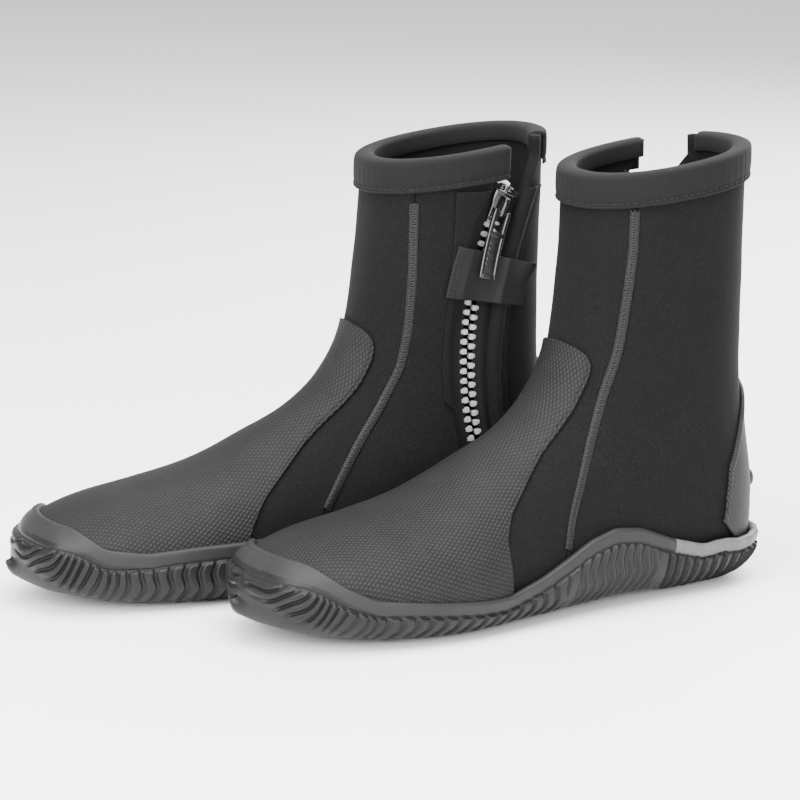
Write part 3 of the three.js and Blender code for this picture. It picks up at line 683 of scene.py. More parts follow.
ahead_at = lambda t: where(t, front_slot, 0, -150)
t_inner = crowded(6.5, LAST, [ahead_at, in_at], 200)
inner_deg = columns(ahead_at(t_inner), in_at(t_inner), 1.5)
add("inner_panel", panel(t_inner, inner_deg, drop=thin_cells(inner_deg)), [neoprene_look],
    soft=foam)

# %% [markdown]
# ## The moulded sole
# The sole is one rubber moulding that wraps up over the toe, the arch and the heel. Its wall has
# a different pattern in each zone: thick wavy ribs round the toe and the forefoot, fine upright
# waves at the arch and sharp fins at the heel, with a smooth rim above them. A grid runs round the
# wall, and each zone pushes its points out by a small height, so the ribs are real relief and
# catch the light from every side. The shape under them is found by casting rays out from the
# middle of the foot onto the outer surface of the sole.

# %% The wall of the sole, before its ribs
RIM_OUT = [[-20, 26], [25, 25], [37, 27], [51, 26], [71, 32], [90, 40], [105, 42], [120, 38],
           [134, 31], [150, 24], [170, 18], [186, 18.5], [210, 21], [241, 25], [256, 32],
           [270, 42], [300, 46]]
RIM_IN = [[-20, 26], [25, 25], [37, 27], [51, 27], [71, 33], [90, 40], [105, 42], [120, 40],
          [140, 36], [160, 32], [185, 31], [210, 31], [235, 30], [256, 33], [270, 42], [300, 46]]
GROUND = [[-20, 12], [-4, 6], [6, 2], [22, 0], [66, 0], [70, 4], [104, 4], [112, 0], [205, 0],
          [235, 2.5], [262, 6], [286, 12], [300, 19]]


def smoothed(line, width):
    """A table of x and z made soft over a width, sampled each millimetre."""
    x = np.arange(line[0][0], line[-1][0] + 1.0)
    z = np.interp(x, *np.array(line, float).T)
    k = np.hanning(width + 2)
    return x, np.convolve(np.pad(z, width, "edge"), k / k.sum(), "same")[width:-width]


rim_out, rim_in, ground = smoothed(RIM_OUT, 9), smoothed(RIM_IN, 9), smoothed(GROUND, 5)


def sole_skin():
    """The outer surface of the rubber as a tree for casting rays."""
    t = np.concatenate([[0.02, 0.08, 0.18, 0.3, 0.45, 0.6, 0.8], np.linspace(1, 12.2, 150)])
    deg = np.linspace(0, 360, 180, endpoint=False)
    T, D = np.meshgrid(t, deg, indexing="ij")
    off = 5 + 4 * np.maximum(0, -np.cos(np.radians(D))) ** 2
    p = point(T, D, off)
    return BVHTree.FromPolygons(p.reshape(-1, 3).tolist(), grid_faces(*T.shape, ring=True))


def round_foot(step=0.62):
    """Places round the foot: a start on its middle line and a level direction outwards."""
    side = np.arange(38, 252, step)
    mid = lambda x: np.interp(x, [30, 150, 255], [0.5, 2.5, 4.5])
    turn_toe = np.radians(np.arange(-90, 90, step * 1.1)[1:])
    turn_heel = np.radians(np.arange(90, 270, step * 1.15)[1:])
    start = np.concatenate([
        np.stack([side[::-1], mid(side[::-1])], -1), np.tile([38, mid(38)], (len(turn_heel), 1)),
        np.stack([side, mid(side)], -1), np.tile([252, mid(252)], (len(turn_toe), 1))])
    way = np.concatenate([
        np.tile([0.0, 1.0], (len(side), 1)), np.stack([np.cos(turn_heel), np.sin(turn_heel)], -1),
        np.tile([0.0, -1.0], (len(side), 1)), np.stack([np.cos(turn_toe), np.sin(turn_toe)], -1)])
    return start, way


def wall(rows=60):
    """Grids of points, outward directions, share of height and place round the foot."""
    tree = sole_skin()
    start, way = round_foot()
    grid = np.zeros((rows, len(start), 3))
    for k, (s, w) in enumerate(zip(start, way)):
        z = 20.0
        for _ in range(4):  # the rim's height depends on where the ray ends
            hit = tree.ray_cast(Vector((*s, z)), Vector((*w, 0)))[0]
            rim = rim_out if hit.y > 0 else rim_in
            z = float(np.interp(hit.x, *rim))
        low = float(np.interp(hit.x, *ground))
        for _ in range(3):
            foot = tree.ray_cast(Vector((*s, low + 0.3)), Vector((*w, 0)))[0]
            low = float(np.interp(foot.x, *ground))
        for r, u in enumerate(np.linspace(0, 1, rows)):
            zz = low + 0.3 + (z - low - 0.3) * u
            hit = tree.ray_cast(Vector((*s, zz)), Vector((*w, 0)))[0]
            grid[r, k] = hit
    return grid, way


wall_grid, wall_way = wall()
ring_mm = np.concatenate([[0], np.cumsum(np.linalg.norm(np.diff(wall_grid[24], axis=0), axis=1))])
print("round the sole", round(float(ring_mm[-1])), "mm,", wall_grid.shape)

# %% [markdown]
# The ribs are sums of simple waves. `s` is the distance round the foot and `u` the share of the
# way up the wall. A zone's mask fades each pattern in and out, and a band below the rim is left
# smooth, as the mould leaves it.

# %% Ribs, waves and fins
def bump_up(v, low, high):
    """0 to 1 between low and high, smooth."""
    w = np.clip((v - low) / (high - low), 0, 1)
    return w * w * (3 - 2 * w)


def zone(v, low, high, soft=3.0):
    return bump_up(v, low - soft / 2, low + soft / 2) * (1 - bump_up(v, high - soft / 2, high + soft / 2))


def crest(v, pitch, width):
    """Rounded ribs a pitch apart; width is the share of the pitch that stands up."""
    w = np.abs((v / pitch) % 1 - 0.5) * 2
    return bump_up(w, 1 - width - 0.16, 1 - width + 0.16)


toe_start = float(ring_mm[np.argmax(wall_way[:, 0] + (np.arange(len(wall_way)) > 10))])
from_toe = np.abs(ring_mm - toe_start)
from_toe = np.minimum(from_toe, ring_mm[-1] - from_toe)


def rib_phase(up):
    """Counts ribs: they lie almost flat at the toe and turn upright along the side."""
    d = np.arange(0, from_toe.max() + 1, 0.5)
    lean = np.radians(12 + 76 * bump_up(d, 12, 88))
    pitch = 4.6 + 2.9 * bump_up(d, 20, 95)
    along = np.cumsum(np.sin(lean) / pitch) * 0.5
    flat = np.interp(from_toe, d, np.cos(lean) / pitch)
    wave = 0.2 * np.sin(from_toe / 3.7) * (1 - bump_up(from_toe, 60, 100))
    sway = 0.16 * np.sin(up / 2.6 + 0.6) * bump_up(from_toe, 50, 90)
    return np.interp(from_toe, d, along) - up * flat + wave + sway


def wall_relief(grid):
    """Millimetres that each point of the wall stands out."""
    x, y, z = grid[..., 0], grid[..., 1], grid[..., 2]
    height = grid[-1, :, 2] - grid[0, :, 2]
    up = np.linspace(0, 1, len(grid))[:, None] * height  # mm above the ground edge
    s = np.broadcast_to(ring_mm, x.shape)
    band = 6.4 + 3 * bump_up(x, 225, 262)  # the smooth rim is deeper over the toe
    below_rim = 1 - bump_up(up, height - band - 0.8, height - band + 0.8)
    off_ground = bump_up(up, 0.2, 1.8)
    front = zone(x, 133, 400, 3)
    arch = zone(x, 79, 131, 3)
    heel = 1 - bump_up(x, 74, 77)
    worn = bump_up(up + from_toe * 0.24, 15, 20)  # the lowest part of the bumper is smooth
    phase = rib_phase(up)
    cord = 0.16 * np.sin(up * 2 * np.pi / 1.25 + phase * 2)
    ribs = crest(phase, 1.0, 0.66) * (2.1 + cord) * worn + (1 - worn) * 1.5
    waves = (np.sin((s + 1.2 * np.sin(up / 3.0)) * 2 * np.pi / 5.4) * 0.5 + 0.5) ** 1.3 * 1.5
    fins = (1 - ((s + up * 0.12) / 6.2) % 1) ** 1.5 * 2.4
    relief = (front * ribs + arch * waves + heel * fins) * below_rim
    bar = zone(x, 129, 134.5, 1.5) + zone(x, 74, 80, 1.5)
    relief = np.maximum(relief, bar * below_rim * 1.3)
    groove = zone(up, height - band - 0.2, height - band + 1.1, 0.6) * 0.6
    scallop = heel * bump_up(up, height - 5.2, height - 4.4) * (0.35 + 0.3 * np.cos(s * 2 * np.pi / 9.5))
    return relief * off_ground - groove - 1.0 + scallop


relief = wall_relief(wall_grid)
ways3 = np.concatenate([wall_way, np.zeros((len(wall_way), 1))], 1)
wall_out = wall_grid + ways3[None] * relief[..., None]


def rim_and_inside(top):
    """The rolled top edge of the wall, then down the inner face a little way."""
    rows = []
    for inward, lift in ((0.35, 0.9), (1.1, 1.5), (2.2, 1.75), (3.3, 1.4), (4.1, 0.4), (4.5, -2), (4.5, -6)):
        rows.append(top - ways3 * inward + [0, 0, lift * 0.8])
    return np.stack(rows)


def tread(edge, rows=70):
    """The underside: rows that shrink towards the middle line, with waved lugs."""
    start, _ = round_foot()
    mid = np.concatenate([start, np.zeros((len(start), 1))], 1)
    out = []
    for u in np.linspace(0, 1, rows)[1:]:
        p = edge * (1 - u) + mid * u
        p[:, 2] = edge[:, 2] * (1 - u) + np.interp(p[:, 0], *ground) * u
        out.append(p)
    out = np.stack(out)
    x, y = out[..., 0], out[..., 1]
    wave = y + 2.2 * np.sin(x / 4.2)
    lug = crest(x + 2.5 * np.sin(y / 4.0), 9.0, 0.62) * crest(wave, 13, 0.8)
    deep = (1 - lug) * 1.6 * bump_up(np.linspace(0, 1, rows)[1:, None], 0.04, 0.1)
    out[..., 2] += deep
    return out


lip, under = rim_and_inside(wall_out[-1]), tread(wall_out[0])
sole_grid = np.concatenate([under[::-1], wall_out, lip])
m, n = sole_grid.shape[:2]
up_share = np.linspace(0, 1, len(wall_out))
tall = wall_grid[-1, :, 2] - wall_grid[0, :, 2]
row_kind = np.concatenate([np.zeros(len(under)), np.ones(len(wall_out)), np.full(len(lip), 2)])
look_of = []
for i in range(m - 1):
    for k in range(n):
        wall_row = i - len(under)
        near_rim = wall_row >= 0 and (wall_row >= len(wall_out) - 1
                                      or (1 - up_share[wall_row]) * tall[k] < 5.8)
        # the rim round the heel takes the light grey of the painted highlight
        behind = wall_grid[-1, k, 0] < 70
        look_of.append((2 if behind else 1) if near_rim else 0)
sole_uv = np.stack([np.broadcast_to(ring_mm, (m, n)), sole_grid[..., 2]], -1)
sole_faces = grid_faces(m, n, ring=True)
end = list(range(n))
sole_shape = (sole_grid.reshape(-1, 3), sole_faces + [end], {"uv": sole_uv.reshape(-1, 2)})
middle_a, middle_b = sole_shape[0][0], sole_shape[0][n // 2]
sole_shape[2]["look_of"] = look_of + [0]
p, faces, extra = sole_shape
tri = np.array([f[:3] for f in sole_faces])
volume = np.einsum("ij,ij->i", p[tri[:, 0]], np.cross(p[tri[:, 1]], p[tri[:, 2]])).sum()
if volume < 0:
    sole_shape = (p, [f[::-1] for f in faces], extra)
add("outsole", sole_shape, [sole_look, rim_look, heel_rim_highlight_look])

# %% [markdown]
# ## The coated toe cap
# A second skin of coated cloth is glued over the toes and up the instep to a rounded tongue, to
# stand the rubbing of fins and rocks. It follows the same surface 0.75 mm further out, its cut
# edge is soft, and a row of lockstitches runs 2 mm inside it. The map starts at the ridge of the
# foot, so that the diamonds run evenly down both sides.

# %% Toe cap and its stitches
LAY, OVERLAY = 0.75, 1.2
TIP = 11.08  # the station where the tongue ends


def toe_line(line):
    x, z = smooth_line(line, 1.0)
    return np.append(x, [117.5]), np.append(z, [131.6])


def row_at(t, deg, grid, at_mm, from_left):
    """The angle on each row at a distance from one edge."""
    across = lengths(grid)[..., 0]
    out = np.zeros(len(t))
    for k in range(len(t)):
        target = at_mm if from_left else across[k, -1] - at_mm
        out[k] = np.interp(target, across[k], deg[k])
    return out


toe_out_at = lambda t: where(t, toe_line(TOE_OUT), 0, 135)
toe_in_at = lambda t: where(t, toe_line(TOE_IN), 0, -135)
t_toe = np.concatenate([NOSE, crowded(1, 10.6, [toe_out_at, toe_in_at], 230),
                        TIP - 0.48 * (1 - np.linspace(0, 1, 24)[1:]) ** 1.6])
toe_deg = columns(toe_in_at(t_toe), toe_out_at(t_toe), 1.7)
T = np.broadcast_to(t_toe[:, None], toe_deg.shape)
toe_flat = point(T, toe_deg, LAY)
toe_map = lengths(toe_flat)
ridge_u = np.array([np.interp(0, d, u) for d, u in zip(toe_deg, toe_map[..., 0])])
ridge_v = np.concatenate([[0], np.cumsum(np.linalg.norm(np.diff(bare(t_toe, 0.0), axis=0), axis=1))])
toe_uv = np.stack([toe_map[..., 0] - ridge_u[:, None], np.broadcast_to(ridge_v[:, None], T.shape)], -1)
edge_drop = rolled(toe_map[..., 0], 0.8)
low_waves = softness(toe_flat) * 0.7
toe_shape = skin(point(T, toe_deg, LAY + OVERLAY - edge_drop + low_waves),
                 point(T, toe_deg, LAY - 0.3 + np.minimum(0, low_waves)), toe_uv, thin_cells(toe_deg))
add("toe_overlay", outside_out(toe_shape), [toe_cloth_look])


def stitches(path, out, length=2.3, gap=0.9, radius=0.26, sink=0.12):
    """Lockstitches along a path: short threads that dip at both ends."""
    step = np.concatenate([[0], np.cumsum(np.linalg.norm(np.diff(path, axis=0), axis=1))])
    parts = []
    for k in range(int(step[-1] / (length + gap))):
        s = k * (length + gap) + np.linspace(0, length, 6)
        p = np.stack([np.interp(s, step, path[:, c]) for c in range(3)], -1)
        n = np.stack([np.interp(s, step, out[:, c]) for c in range(3)], -1)
        dip = np.array([-1.0, 0.4, 1, 1, 0.4, -1.0]) * radius + sink
        parts.append(tube(p + n * dip[:, None], radius, 5, flatten=n))
    return merged(parts)


def extra_piece(name, shape, look, body="boot"):
    """A sewn-on detail that stands for no solid of its own."""
    points, faces, extra = shape
    for side in SIDES:
        turned = faces if side == "left" else [f[::-1] for f in faces]
        obj = mesh_object(f"{side}_{name}", place(points, side), turned, [look], **extra)
        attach(obj, f"{side}_{body}")
        made[obj.name] = obj
    print(name, len(points), "points")


sewn = (t_toe > 6.4) & (t_toe < 10.98)
t_sewn = t_toe[sewn]
left_run = row_at(t_sewn, toe_deg[sewn], toe_flat[sewn], 2.0, True)
right_run = row_at(t_sewn, toe_deg[sewn], toe_flat[sewn], 2.0, False)
run_t = np.concatenate([t_sewn, t_sewn[::-1]])
run_deg = np.concatenate([left_run, right_run[::-1]])
extra_piece("toe_stitches", stitches(point(run_t, run_deg, LAY + OVERLAY - 0.15),
                                     outward(run_t, run_deg)), thread_look)

# %% [markdown]
# ## The heel
# A moulded rubber patch covers the back of the heel. Fine slanted ridges give the other foot
# something to push the boot off with, a bead runs round its edge, and a half round stop above the
# sole keeps a fin strap from slipping down. The ridges are finer than a millimetre, so they are a
# bump on the map, while the bead and the stop are modelled.

# %% Heel patch and strap stop
HEEL_EDGE = [[9.6, 62], [10.1, 65], [10.4, 67], [11, 65], [11.4, 58], [11.75, 49], [12.1, 37],
             [12.35, 24], [12.5, 10], [12.55, 2]]


def ridged(name, dark, light, pitch, raise_mm):
    look = Look(name, Roughness=0.5, Specular_IOR_Level=0.12)
    u, v = look.map_mm()
    line = look.ridge(u * 0.75 + v * 0.66, pitch)
    grain = look.noise(2.5, 3)
    # the ridges are painted lighter than the grooves: painted highlight on the crests and painted shade
    # between them; the grain is random tone
    look.feed("Base Color", look.mix(grey(dark), grey(light), line * 0.7 + grain * 0.3))
    look.feed("Roughness", 0.6 - line * 0.15)
    look.bump(look.math("MINIMUM", line, 0.6) + grain * 0.06, raise_mm)
    return look.material


heel_patch_look = ridged("heel_patch", 0.004, 0.017, 1.9, 0.4)
t_heel = np.concatenate([np.linspace(10.0, 12.2, 60), 12.55 - 0.33 * (1 - np.linspace(0, 1, 16)[1:]) ** 1.7])
half = np.interp(t_heel, *np.array(HEEL_EDGE).T)
for _ in range(3):
    half[1:-1] = (half[:-2] + 2 * half[1:-1] + half[2:]) / 4
heel_deg = between(180 - half, 180 + half, 90)
T = np.broadcast_to(t_heel[:, None], heel_deg.shape)
heel_flat = point(T, heel_deg, 1.0)
heel_map = lengths(heel_flat)
from_edge = np.minimum(heel_map[..., 0], heel_map[..., 0][:, -1:] - heel_map[..., 0])
from_top = np.maximum(heel_map[..., 1][-1:] - heel_map[..., 1], 0)
from_edge = np.minimum(from_edge, from_top + 0.01)
bead = zone(from_edge, 0.3, 2.4, 0.8) * 0.5 + zone(np.abs(heel_deg - 180) * 0.75, -1, 1.4, 1.0) * 0.35
off = 1.0 + OVERLAY - np.where(from_edge < 0.7, 0.7 - from_edge, 0) * 0.8 + bead
heel_uv = np.stack([heel_map[..., 0] - heel_map[..., 0][:, -1:] / 2, heel_map[..., 1]], -1)
add("heel_overlay", skin(point(T, heel_deg, off), point(T, heel_deg, 0.6), heel_uv), [heel_patch_look])


def lug(rise=4.0, half_mm=6.0, spread=24.0):
    """The half round stop, as sections from one side of the heel to the other."""
    base, rows = 1.0 + OVERLAY + 0.2, []
    for deg in np.linspace(180 - spread, 180 + spread, 41):
        fade = math.sqrt(max(0.02, 1 - abs((deg - 180) / spread) ** 2.6))
        a = np.linspace(0, math.pi, 17)
        wide = np.cos(a) * half_mm * (0.35 + 0.65 * fade) / 40
        tall = rise * fade * np.sin(a) ** 0.8
        rows.append(point(11.2 + wide, deg, base - 0.8 + tall + 0.6 * np.sin(a)))
    return rings(rows)


add("fin_strap_stop", lug(), [heel_look], smooth_angle=50)

# %% [markdown]
# ## The collar
# The cut edge of the collar is bound with a strip of stretch cloth, folded over the top and sewn
# through. It is 15 mm deep outside and 8 mm inside, ends on both sides of the zip, and its lower
# edge is a thin bead where the cloth is turned under. One closed section is swept round the collar.

# %% Collar binding and its stitches
def top_gap(deg):
    return 35.5 - 13.5 * np.cos(np.radians(deg))


def rim_height(x):
    front_x, front_z, back_x, back_z = STATIONS[-1][:4]
    return front_z + (front_x - x) * (back_z - front_z) / (front_x - back_x)


def arc_line(rho):
    a = on_zip(np.linspace(-25, 36, 80), rho)
    return a[:, 0], a[:, 2]


top_t = np.array([LAST - 0.02])
collar_from = float(where(top_t, arc_line(SLOT), 0, -150)[0]) + 0.7
collar_to = 360 + float(where(top_t, arc_line(-SLOT), 0, -150)[0]) - 0.7


def collar_section(deg, share):
    """The folded strip's section at one angle; share runs from 0 to 1 round the collar."""
    plump = math.sqrt(max(0.0, 1 - (1 - min(1, share * 90, (1 - share) * 90)) ** 2)) * 0.75 + 0.25
    pucker = 0.12 * math.sin(deg * 1.9) + 0.1 * math.sin(deg * 3.7 + 1)
    thick = 1.6 * plump
    out, inn = LAY, -5 - LAY - 0.2
    rows = []

    def side(drop, off):
        rows.append(point(LAST - drop / top_gap(deg), deg, off))

    def over(angle, radius):
        a = math.radians(angle)
        middle, reach = (out + inn) / 2, (out - inn) / 2 + radius
        p = point(LAST, deg, middle + reach * math.cos(a))
        p[2] = rim_height(p[0]) - 0.8 + (1.3 + radius * 0.75) * math.sin(a) ** 0.8
        rows.append(p)

    for drop, extra in ((15, 0.0), (15.2, 0.7), (14.7, 1.05), (13.9, 1.05), (13.3, 0.75), (12.9, 0.68),
                        (12.3, 0.78), (11, 0.97), (8, 1.05), (5, 1.05), (2, 1.0)):
        side(drop, out + thick * extra + pucker * (extra > 0.6))
    for angle in np.linspace(0, 180, 13):
        over(angle, thick)
    for drop, extra in ((2, 1.0), (5, 1.0), (7, 0.9), (8, 0.6), (8, 0.0)):
        side(drop, inn - thick * extra)
    for drop in (5, 2):
        side(drop, inn)
    for angle in np.linspace(180, 0, 9):
        over(angle, 0)
    for drop in (2, 7):
        side(drop, out)
    return rows


turns = np.linspace(collar_from, collar_to, 240)
turns[1:-1] += 0
sections = [collar_section(d, k / 239) for k, d in enumerate(turns)]
section_mm = lengths(np.array(sections))
add("collar_binding", rings(sections, uv=section_mm[..., ::-1]), [binding_look],
    smooth_angle=60)
seam_deg = np.linspace(collar_from + 1.5, collar_to - 1.5, 400)
seam_t = LAST - 12.9 / top_gap(seam_deg)
extra_piece("collar_stitches", stitches(point(seam_t, seam_deg, LAY + 1.6 * 0.72),
                                        outward(seam_t, seam_deg), 2.6, 1.0, 0.28), thread_look)

# %% [markdown]
# ## Overlocked seams
# Where two panels meet, an overlock machine lays threads from side to side over the join. Two
# zigzags, half a stitch apart, cross over a band 4 mm wide, and a fine cord runs along each edge.
# The threads are modelled, because they catch the light one by one.

# %% Zigzag threads over the seams
def on_seam(line, side, z, across):
    """Station and angle of a point beside a seam, across it by some millimetres."""
    x, zz = line
    here = np.interp(z, zz, x)
    slope = np.interp(z + 1, zz, x) - np.interp(z - 1, zz, x)
    size = np.hypot(slope, 2)
    return find(here + across * 2 / size, z - across * slope / size, side)


def seam_threads(line, side, z0, z1, width=1.7, pitch=2.6):
    z = np.linspace(z0, z1, 400)
    middle = point(*on_seam(line, side, z, 0 * z))
    step = np.concatenate([[0], np.cumsum(np.linalg.norm(np.diff(middle, axis=0), axis=1))])
    parts = []
    for lag in (0.0, pitch / 2):
        turns = int((step[-1] - lag) / pitch * 2)
        s = lag + np.arange(turns * 5 + 1) * pitch / 10
        sway = width * (1 - 2 * np.abs((np.arange(len(s)) / 5) % 2 - 1))
        t, deg = on_seam(line, side, np.interp(s, step, z), sway)
        rise = 0.42 + 0.3 * np.cos(sway / width * math.pi / 2) + (0.16 if lag else 0)
        parts.append(tube(point(t, deg, rise), 0.5, 6, flatten=outward(t, deg)))
    for edge in (-width, width):
        t, deg = on_seam(line, side, z, np.full(z.shape, edge))
        wob = 0.45 + 0.08 * np.sin(step * 2 * math.pi / pitch)
        parts.append(tube(point(t, deg, wob), 0.36, 6, flatten=outward(t, deg)))
    t, deg = on_seam(line, side, z, 0 * z)
    parts.append(tube(point(t, deg, 0.1), np.full(len(z), 0.8), 8, flatten=outward(t, deg)))
    return merged(parts)


add("outer_seam_thread", seam_threads(outer_seam, 1, 36, 198), [thread_look])
add("inner_seam_thread", seam_threads(inner_seam, -1, 43, 194), [thread_look])

# %% [markdown]
# ## Facings and tape round the zip
# The slot's edges are faced with thin neoprene, folded over the cut so that no foam shows. In front
# the facing is broad and ends in a thin lap line, and behind it is rolled into a welt. The zip's
# woven tapes lie under both edges, run flat by the teeth and bend away under the neoprene.

# %% Facings
LAP_LINE = [[10.2, 84], [10.5, 76], [11.6, 74], [12.9, 76], [13.5, 77], [15, 77]]


def facing(deg, shape_off, slot_left):
    """A thin strip over a slot edge; shape_off gives its height from the millimetres across."""
    T = np.broadcast_to(t_face[:, None], deg.shape)
    across = lengths(point(T, deg, 1.0))[..., 0]
    whole = across[:, -1:]
    from_slot = across if slot_left else whole - across
    off = shape_off(from_slot, whole)
    tail = rolled(from_slot, 0.8, left=False) if slot_left else 0
    d = whole - from_slot
    tail = 0.8 * (1 - np.sqrt(np.clip(1 - np.clip(1 - d / 0.8, 0, 1) ** 2, 0, 1)))
    top = point(T, deg, off - tail)
    return skin(top, point(T, deg, np.minimum(off - 1.1, off - tail - 0.3)),
                lengths(point(T, deg, 1.0)))


t_face = np.linspace(10.75, 14.47, 120)
slot_front, slot_rear = arc_line(SLOT - 0.5), arc_line(-SLOT + 0.5)
a = where(t_face, slot_front, 0, -150)
b = -np.interp(t_face, *np.array(LAP_LINE, float).T)
b = np.maximum(b, a + 4)
lip = lambda d, w: 1.85 - rolled_over(d, 3.0)


def rolled_over(d, radius):
    near = np.clip(1 - d / radius, 0, 1)
    return radius * (1 - np.sqrt(np.maximum(0, 1 - near**2)))


add("zip_facing_front", facing(between(a, b, 36), lip, True), [neoprene_look])
a = where(t_face, arc_line(-SLOT - 9), 0, -150)
b = where(t_face, slot_rear, 0, -150)
welt = lambda d, w: 1.85 - rolled_over(d, 3.0) + 1.15 * np.exp(-(((d - 4.2) / 1.9) ** 2)) - 0.3 * (d > 7)
add("zip_facing_rear", facing(between(a, b, 40), welt, False), [neoprene_look])

# %% Zip tapes
def under_zip(deg, rho, off):
    """Points off millimetres from the upper's face, straight under a place on the zip."""
    at = on_zip(deg, rho)
    t, d = find(at[..., 0], at[..., 2], -1)
    return point(t, d, off)


def tape(side):
    deg, rho = np.meshgrid(np.linspace(ZIP["bottom"], ZIP["top"], 130), np.linspace(3.0, 14.4, 26),
                           indexing="ij")
    level = on_zip(deg, side * rho)
    deep = under_zip(deg, side * rho, -NEOPRENE - 1.6)
    w = bump_up(rho, 6.8, 10.6)[..., None]
    middle = level * (1 - w) + deep * w
    rows, cols = np.gradient(middle, axis=0), np.gradient(middle, axis=1)
    n = np.cross(rows, cols)
    n /= np.linalg.norm(n, axis=-1, keepdims=True)
    n *= np.where(n[..., 1:2] > 0, -1.0, 1.0)
    cord_edge = 0.45 * np.exp(-(((rho - 3.6) / 0.7) ** 2))[..., None]
    uv = np.stack([rho, np.radians(deg) * ZIP["r"]], -1)
    return outside_out(skin(middle + n * (0.4 + cord_edge), middle - n * (0.4 + cord_edge), uv))


for side, name in ((1, "front"), (-1, "rear")):
    add(f"zip_tape_{name}", tape(side), [tape_look],
        soft=lambda o, s: o)

# %% [markdown]
# ## The zip chain and its slider
# It is a heavy moulded zip: separate plastic teeth cast onto the tape's corded edge, set half a
# pitch apart so that each sits between two of the other side. The slider has two plates joined at
# the top by a post, flanges that guide the teeth, and a winged bridge that holds the pull. All of
# these are blocks with rounded edges that bend along the zip's arc, so one helper makes them.

# %% Rounded blocks along the zip's arc
MM = math.degrees(1 / ZIP["r"])  # degrees of arc for a millimetre of chain


def round_block(carry, s, r, y, soft=0.4, steps=4, taper=None):
    """A block with soft edges: s, r and y are its ends along, across and through the zip."""
    soft = min(soft, abs(s[1] - s[0]) / 2.01, abs(r[1] - r[0]) / 2.01, abs(y[1] - y[0]) / 2.01)
    turn = np.linspace(0, math.pi / 2, steps + 1)
    ends = [(s[0] + soft * (1 - math.cos(a)), soft * (1 - math.sin(a))) for a in turn]
    middle = [(s[0] + (s[1] - s[0]) * k / 6, 0.0) for k in range(1, 6)]
    close = [(s[1] - (e - s[0]), i) for e, i in ends[::-1]]
    rows = []
    for at, inset in ends + middle + close:
        k = 1.0 if taper is None else taper((at - s[0]) / (s[1] - s[0]))
        mid = (r[0] + r[1]) / 2
        half_r, half_y = abs(r[1] - r[0]) / 2 * k - inset, abs(y[1] - y[0]) / 2 - inset
        c = max(0.02, soft - inset)
        ring = []
        for q in range(4):
            sx, sy = ((1, 1), (-1, 1), (-1, -1), (1, -1))[q]
            for a in turn:
                a2 = a + q * math.pi / 2
                ring.append((mid + sx * (half_r - c) + c * math.cos(a2),
                             (y[0] + y[1]) / 2 + sy * (half_y - c) + c * math.sin(a2)))
        rows.append([carry(at, u, v) for u, v in ring])
    return rings(rows)


def at_zip(middle_deg):
    """Carries millimetres up, across and into the boot to a place on the arc."""
    return lambda s, r, y: on_zip(middle_deg + s * MM, r, y)


def teeth(side):
    low, high = ZIP["bottom"] + 2.5 * MM, ZIP["top"] - 4.5 * MM
    count = int((high - low) / (5 * MM))
    parts = []
    for k in range(count + 1):
        here = low + (k * 5 + (1.3 if side > 0 else 3.8)) * MM
        if here > high:
            continue
        carry = at_zip(here)
        narrow = lambda u: 0.9 + 0.1 * math.cos((u - 0.5) * math.pi)
        ends = sorted((side * 0.5, side * 3.3))
        parts.append(round_block(carry, (-1.4, 1.4), ends, (-1.5, 1.5), 0.4, taper=narrow))
        foot = sorted((side * 2.6, side * 4.1))
        parts.append(round_block(carry, (-1.05, 1.05), foot, (-1.15, 1.15), 0.4))
    return merged(parts)


add("zip_teeth_front", teeth(1), [tooth_look])
add("zip_teeth_rear", teeth(-1), [tooth_look])
for side, name in ((1, "front"), (-1, "rear")):
    stop = round_block(at_zip(ZIP["top"] - 0.2), (-1.7, 1.7), sorted((side * 0.9, side * 3.6)), (-2, 2), 0.6)
    add(f"zip_top_stop_{name}", stop, [gloss_look])
add("zip_bottom_stop", round_block(at_zip(ZIP["bottom"]), (-2, 1.8), (-3.3, 3.3), (-2, 2), 0.6),
    [gloss_look])

# %% Slider
SLIDER_AT, SLIDER_LEN, SLIDER_W = 24.1, 15, 12
PLATE_IN, PLATE = 2.2, 1.3
TOP_Y = -PLATE_IN - PLATE
carry = at_zip(SLIDER_AT)


def plate(sign):
    """One plate: broad and notched at its crown, narrower at its tail, with turned-in flanges."""
    rows = []
    for u in np.concatenate([[0, 0.015, 0.05], np.linspace(0.1, 0.9, 17), [0.95, 0.985, 1]]):
        s = (u - 0.5) * SLIDER_LEN
        end = min(1, u / 0.05, (1 - u) / 0.05)
        round_end = math.sqrt(max(0, 1 - (1 - end) ** 2))
        w = SLIDER_W / 2 * (0.8 + 0.2 * bump_up(u, 0.3, 0.8)) * (0.86 + 0.14 * round_end)
        thick = PLATE * (0.5 + 0.5 * round_end)
        mid = PLATE_IN + PLATE / 2
        ring = []
        for k in range(24):
            a = k * math.pi / 12
            r = w * math.copysign(abs(math.cos(a)) ** 0.35, math.cos(a))
            y = thick / 2 * math.copysign(abs(math.sin(a)) ** 0.55, math.sin(a))
            flange = 0.75 * bump_up(abs(r) / w, 0.8, 0.98)
            dome = 0.25 * (1 - (r / w) ** 2)
            ring.append(carry(s, r, sign * (mid + y + (dome if y > 0 else 0) - (flange if y < 0 else 0))))
        rows.append(ring)
    return rings(rows)


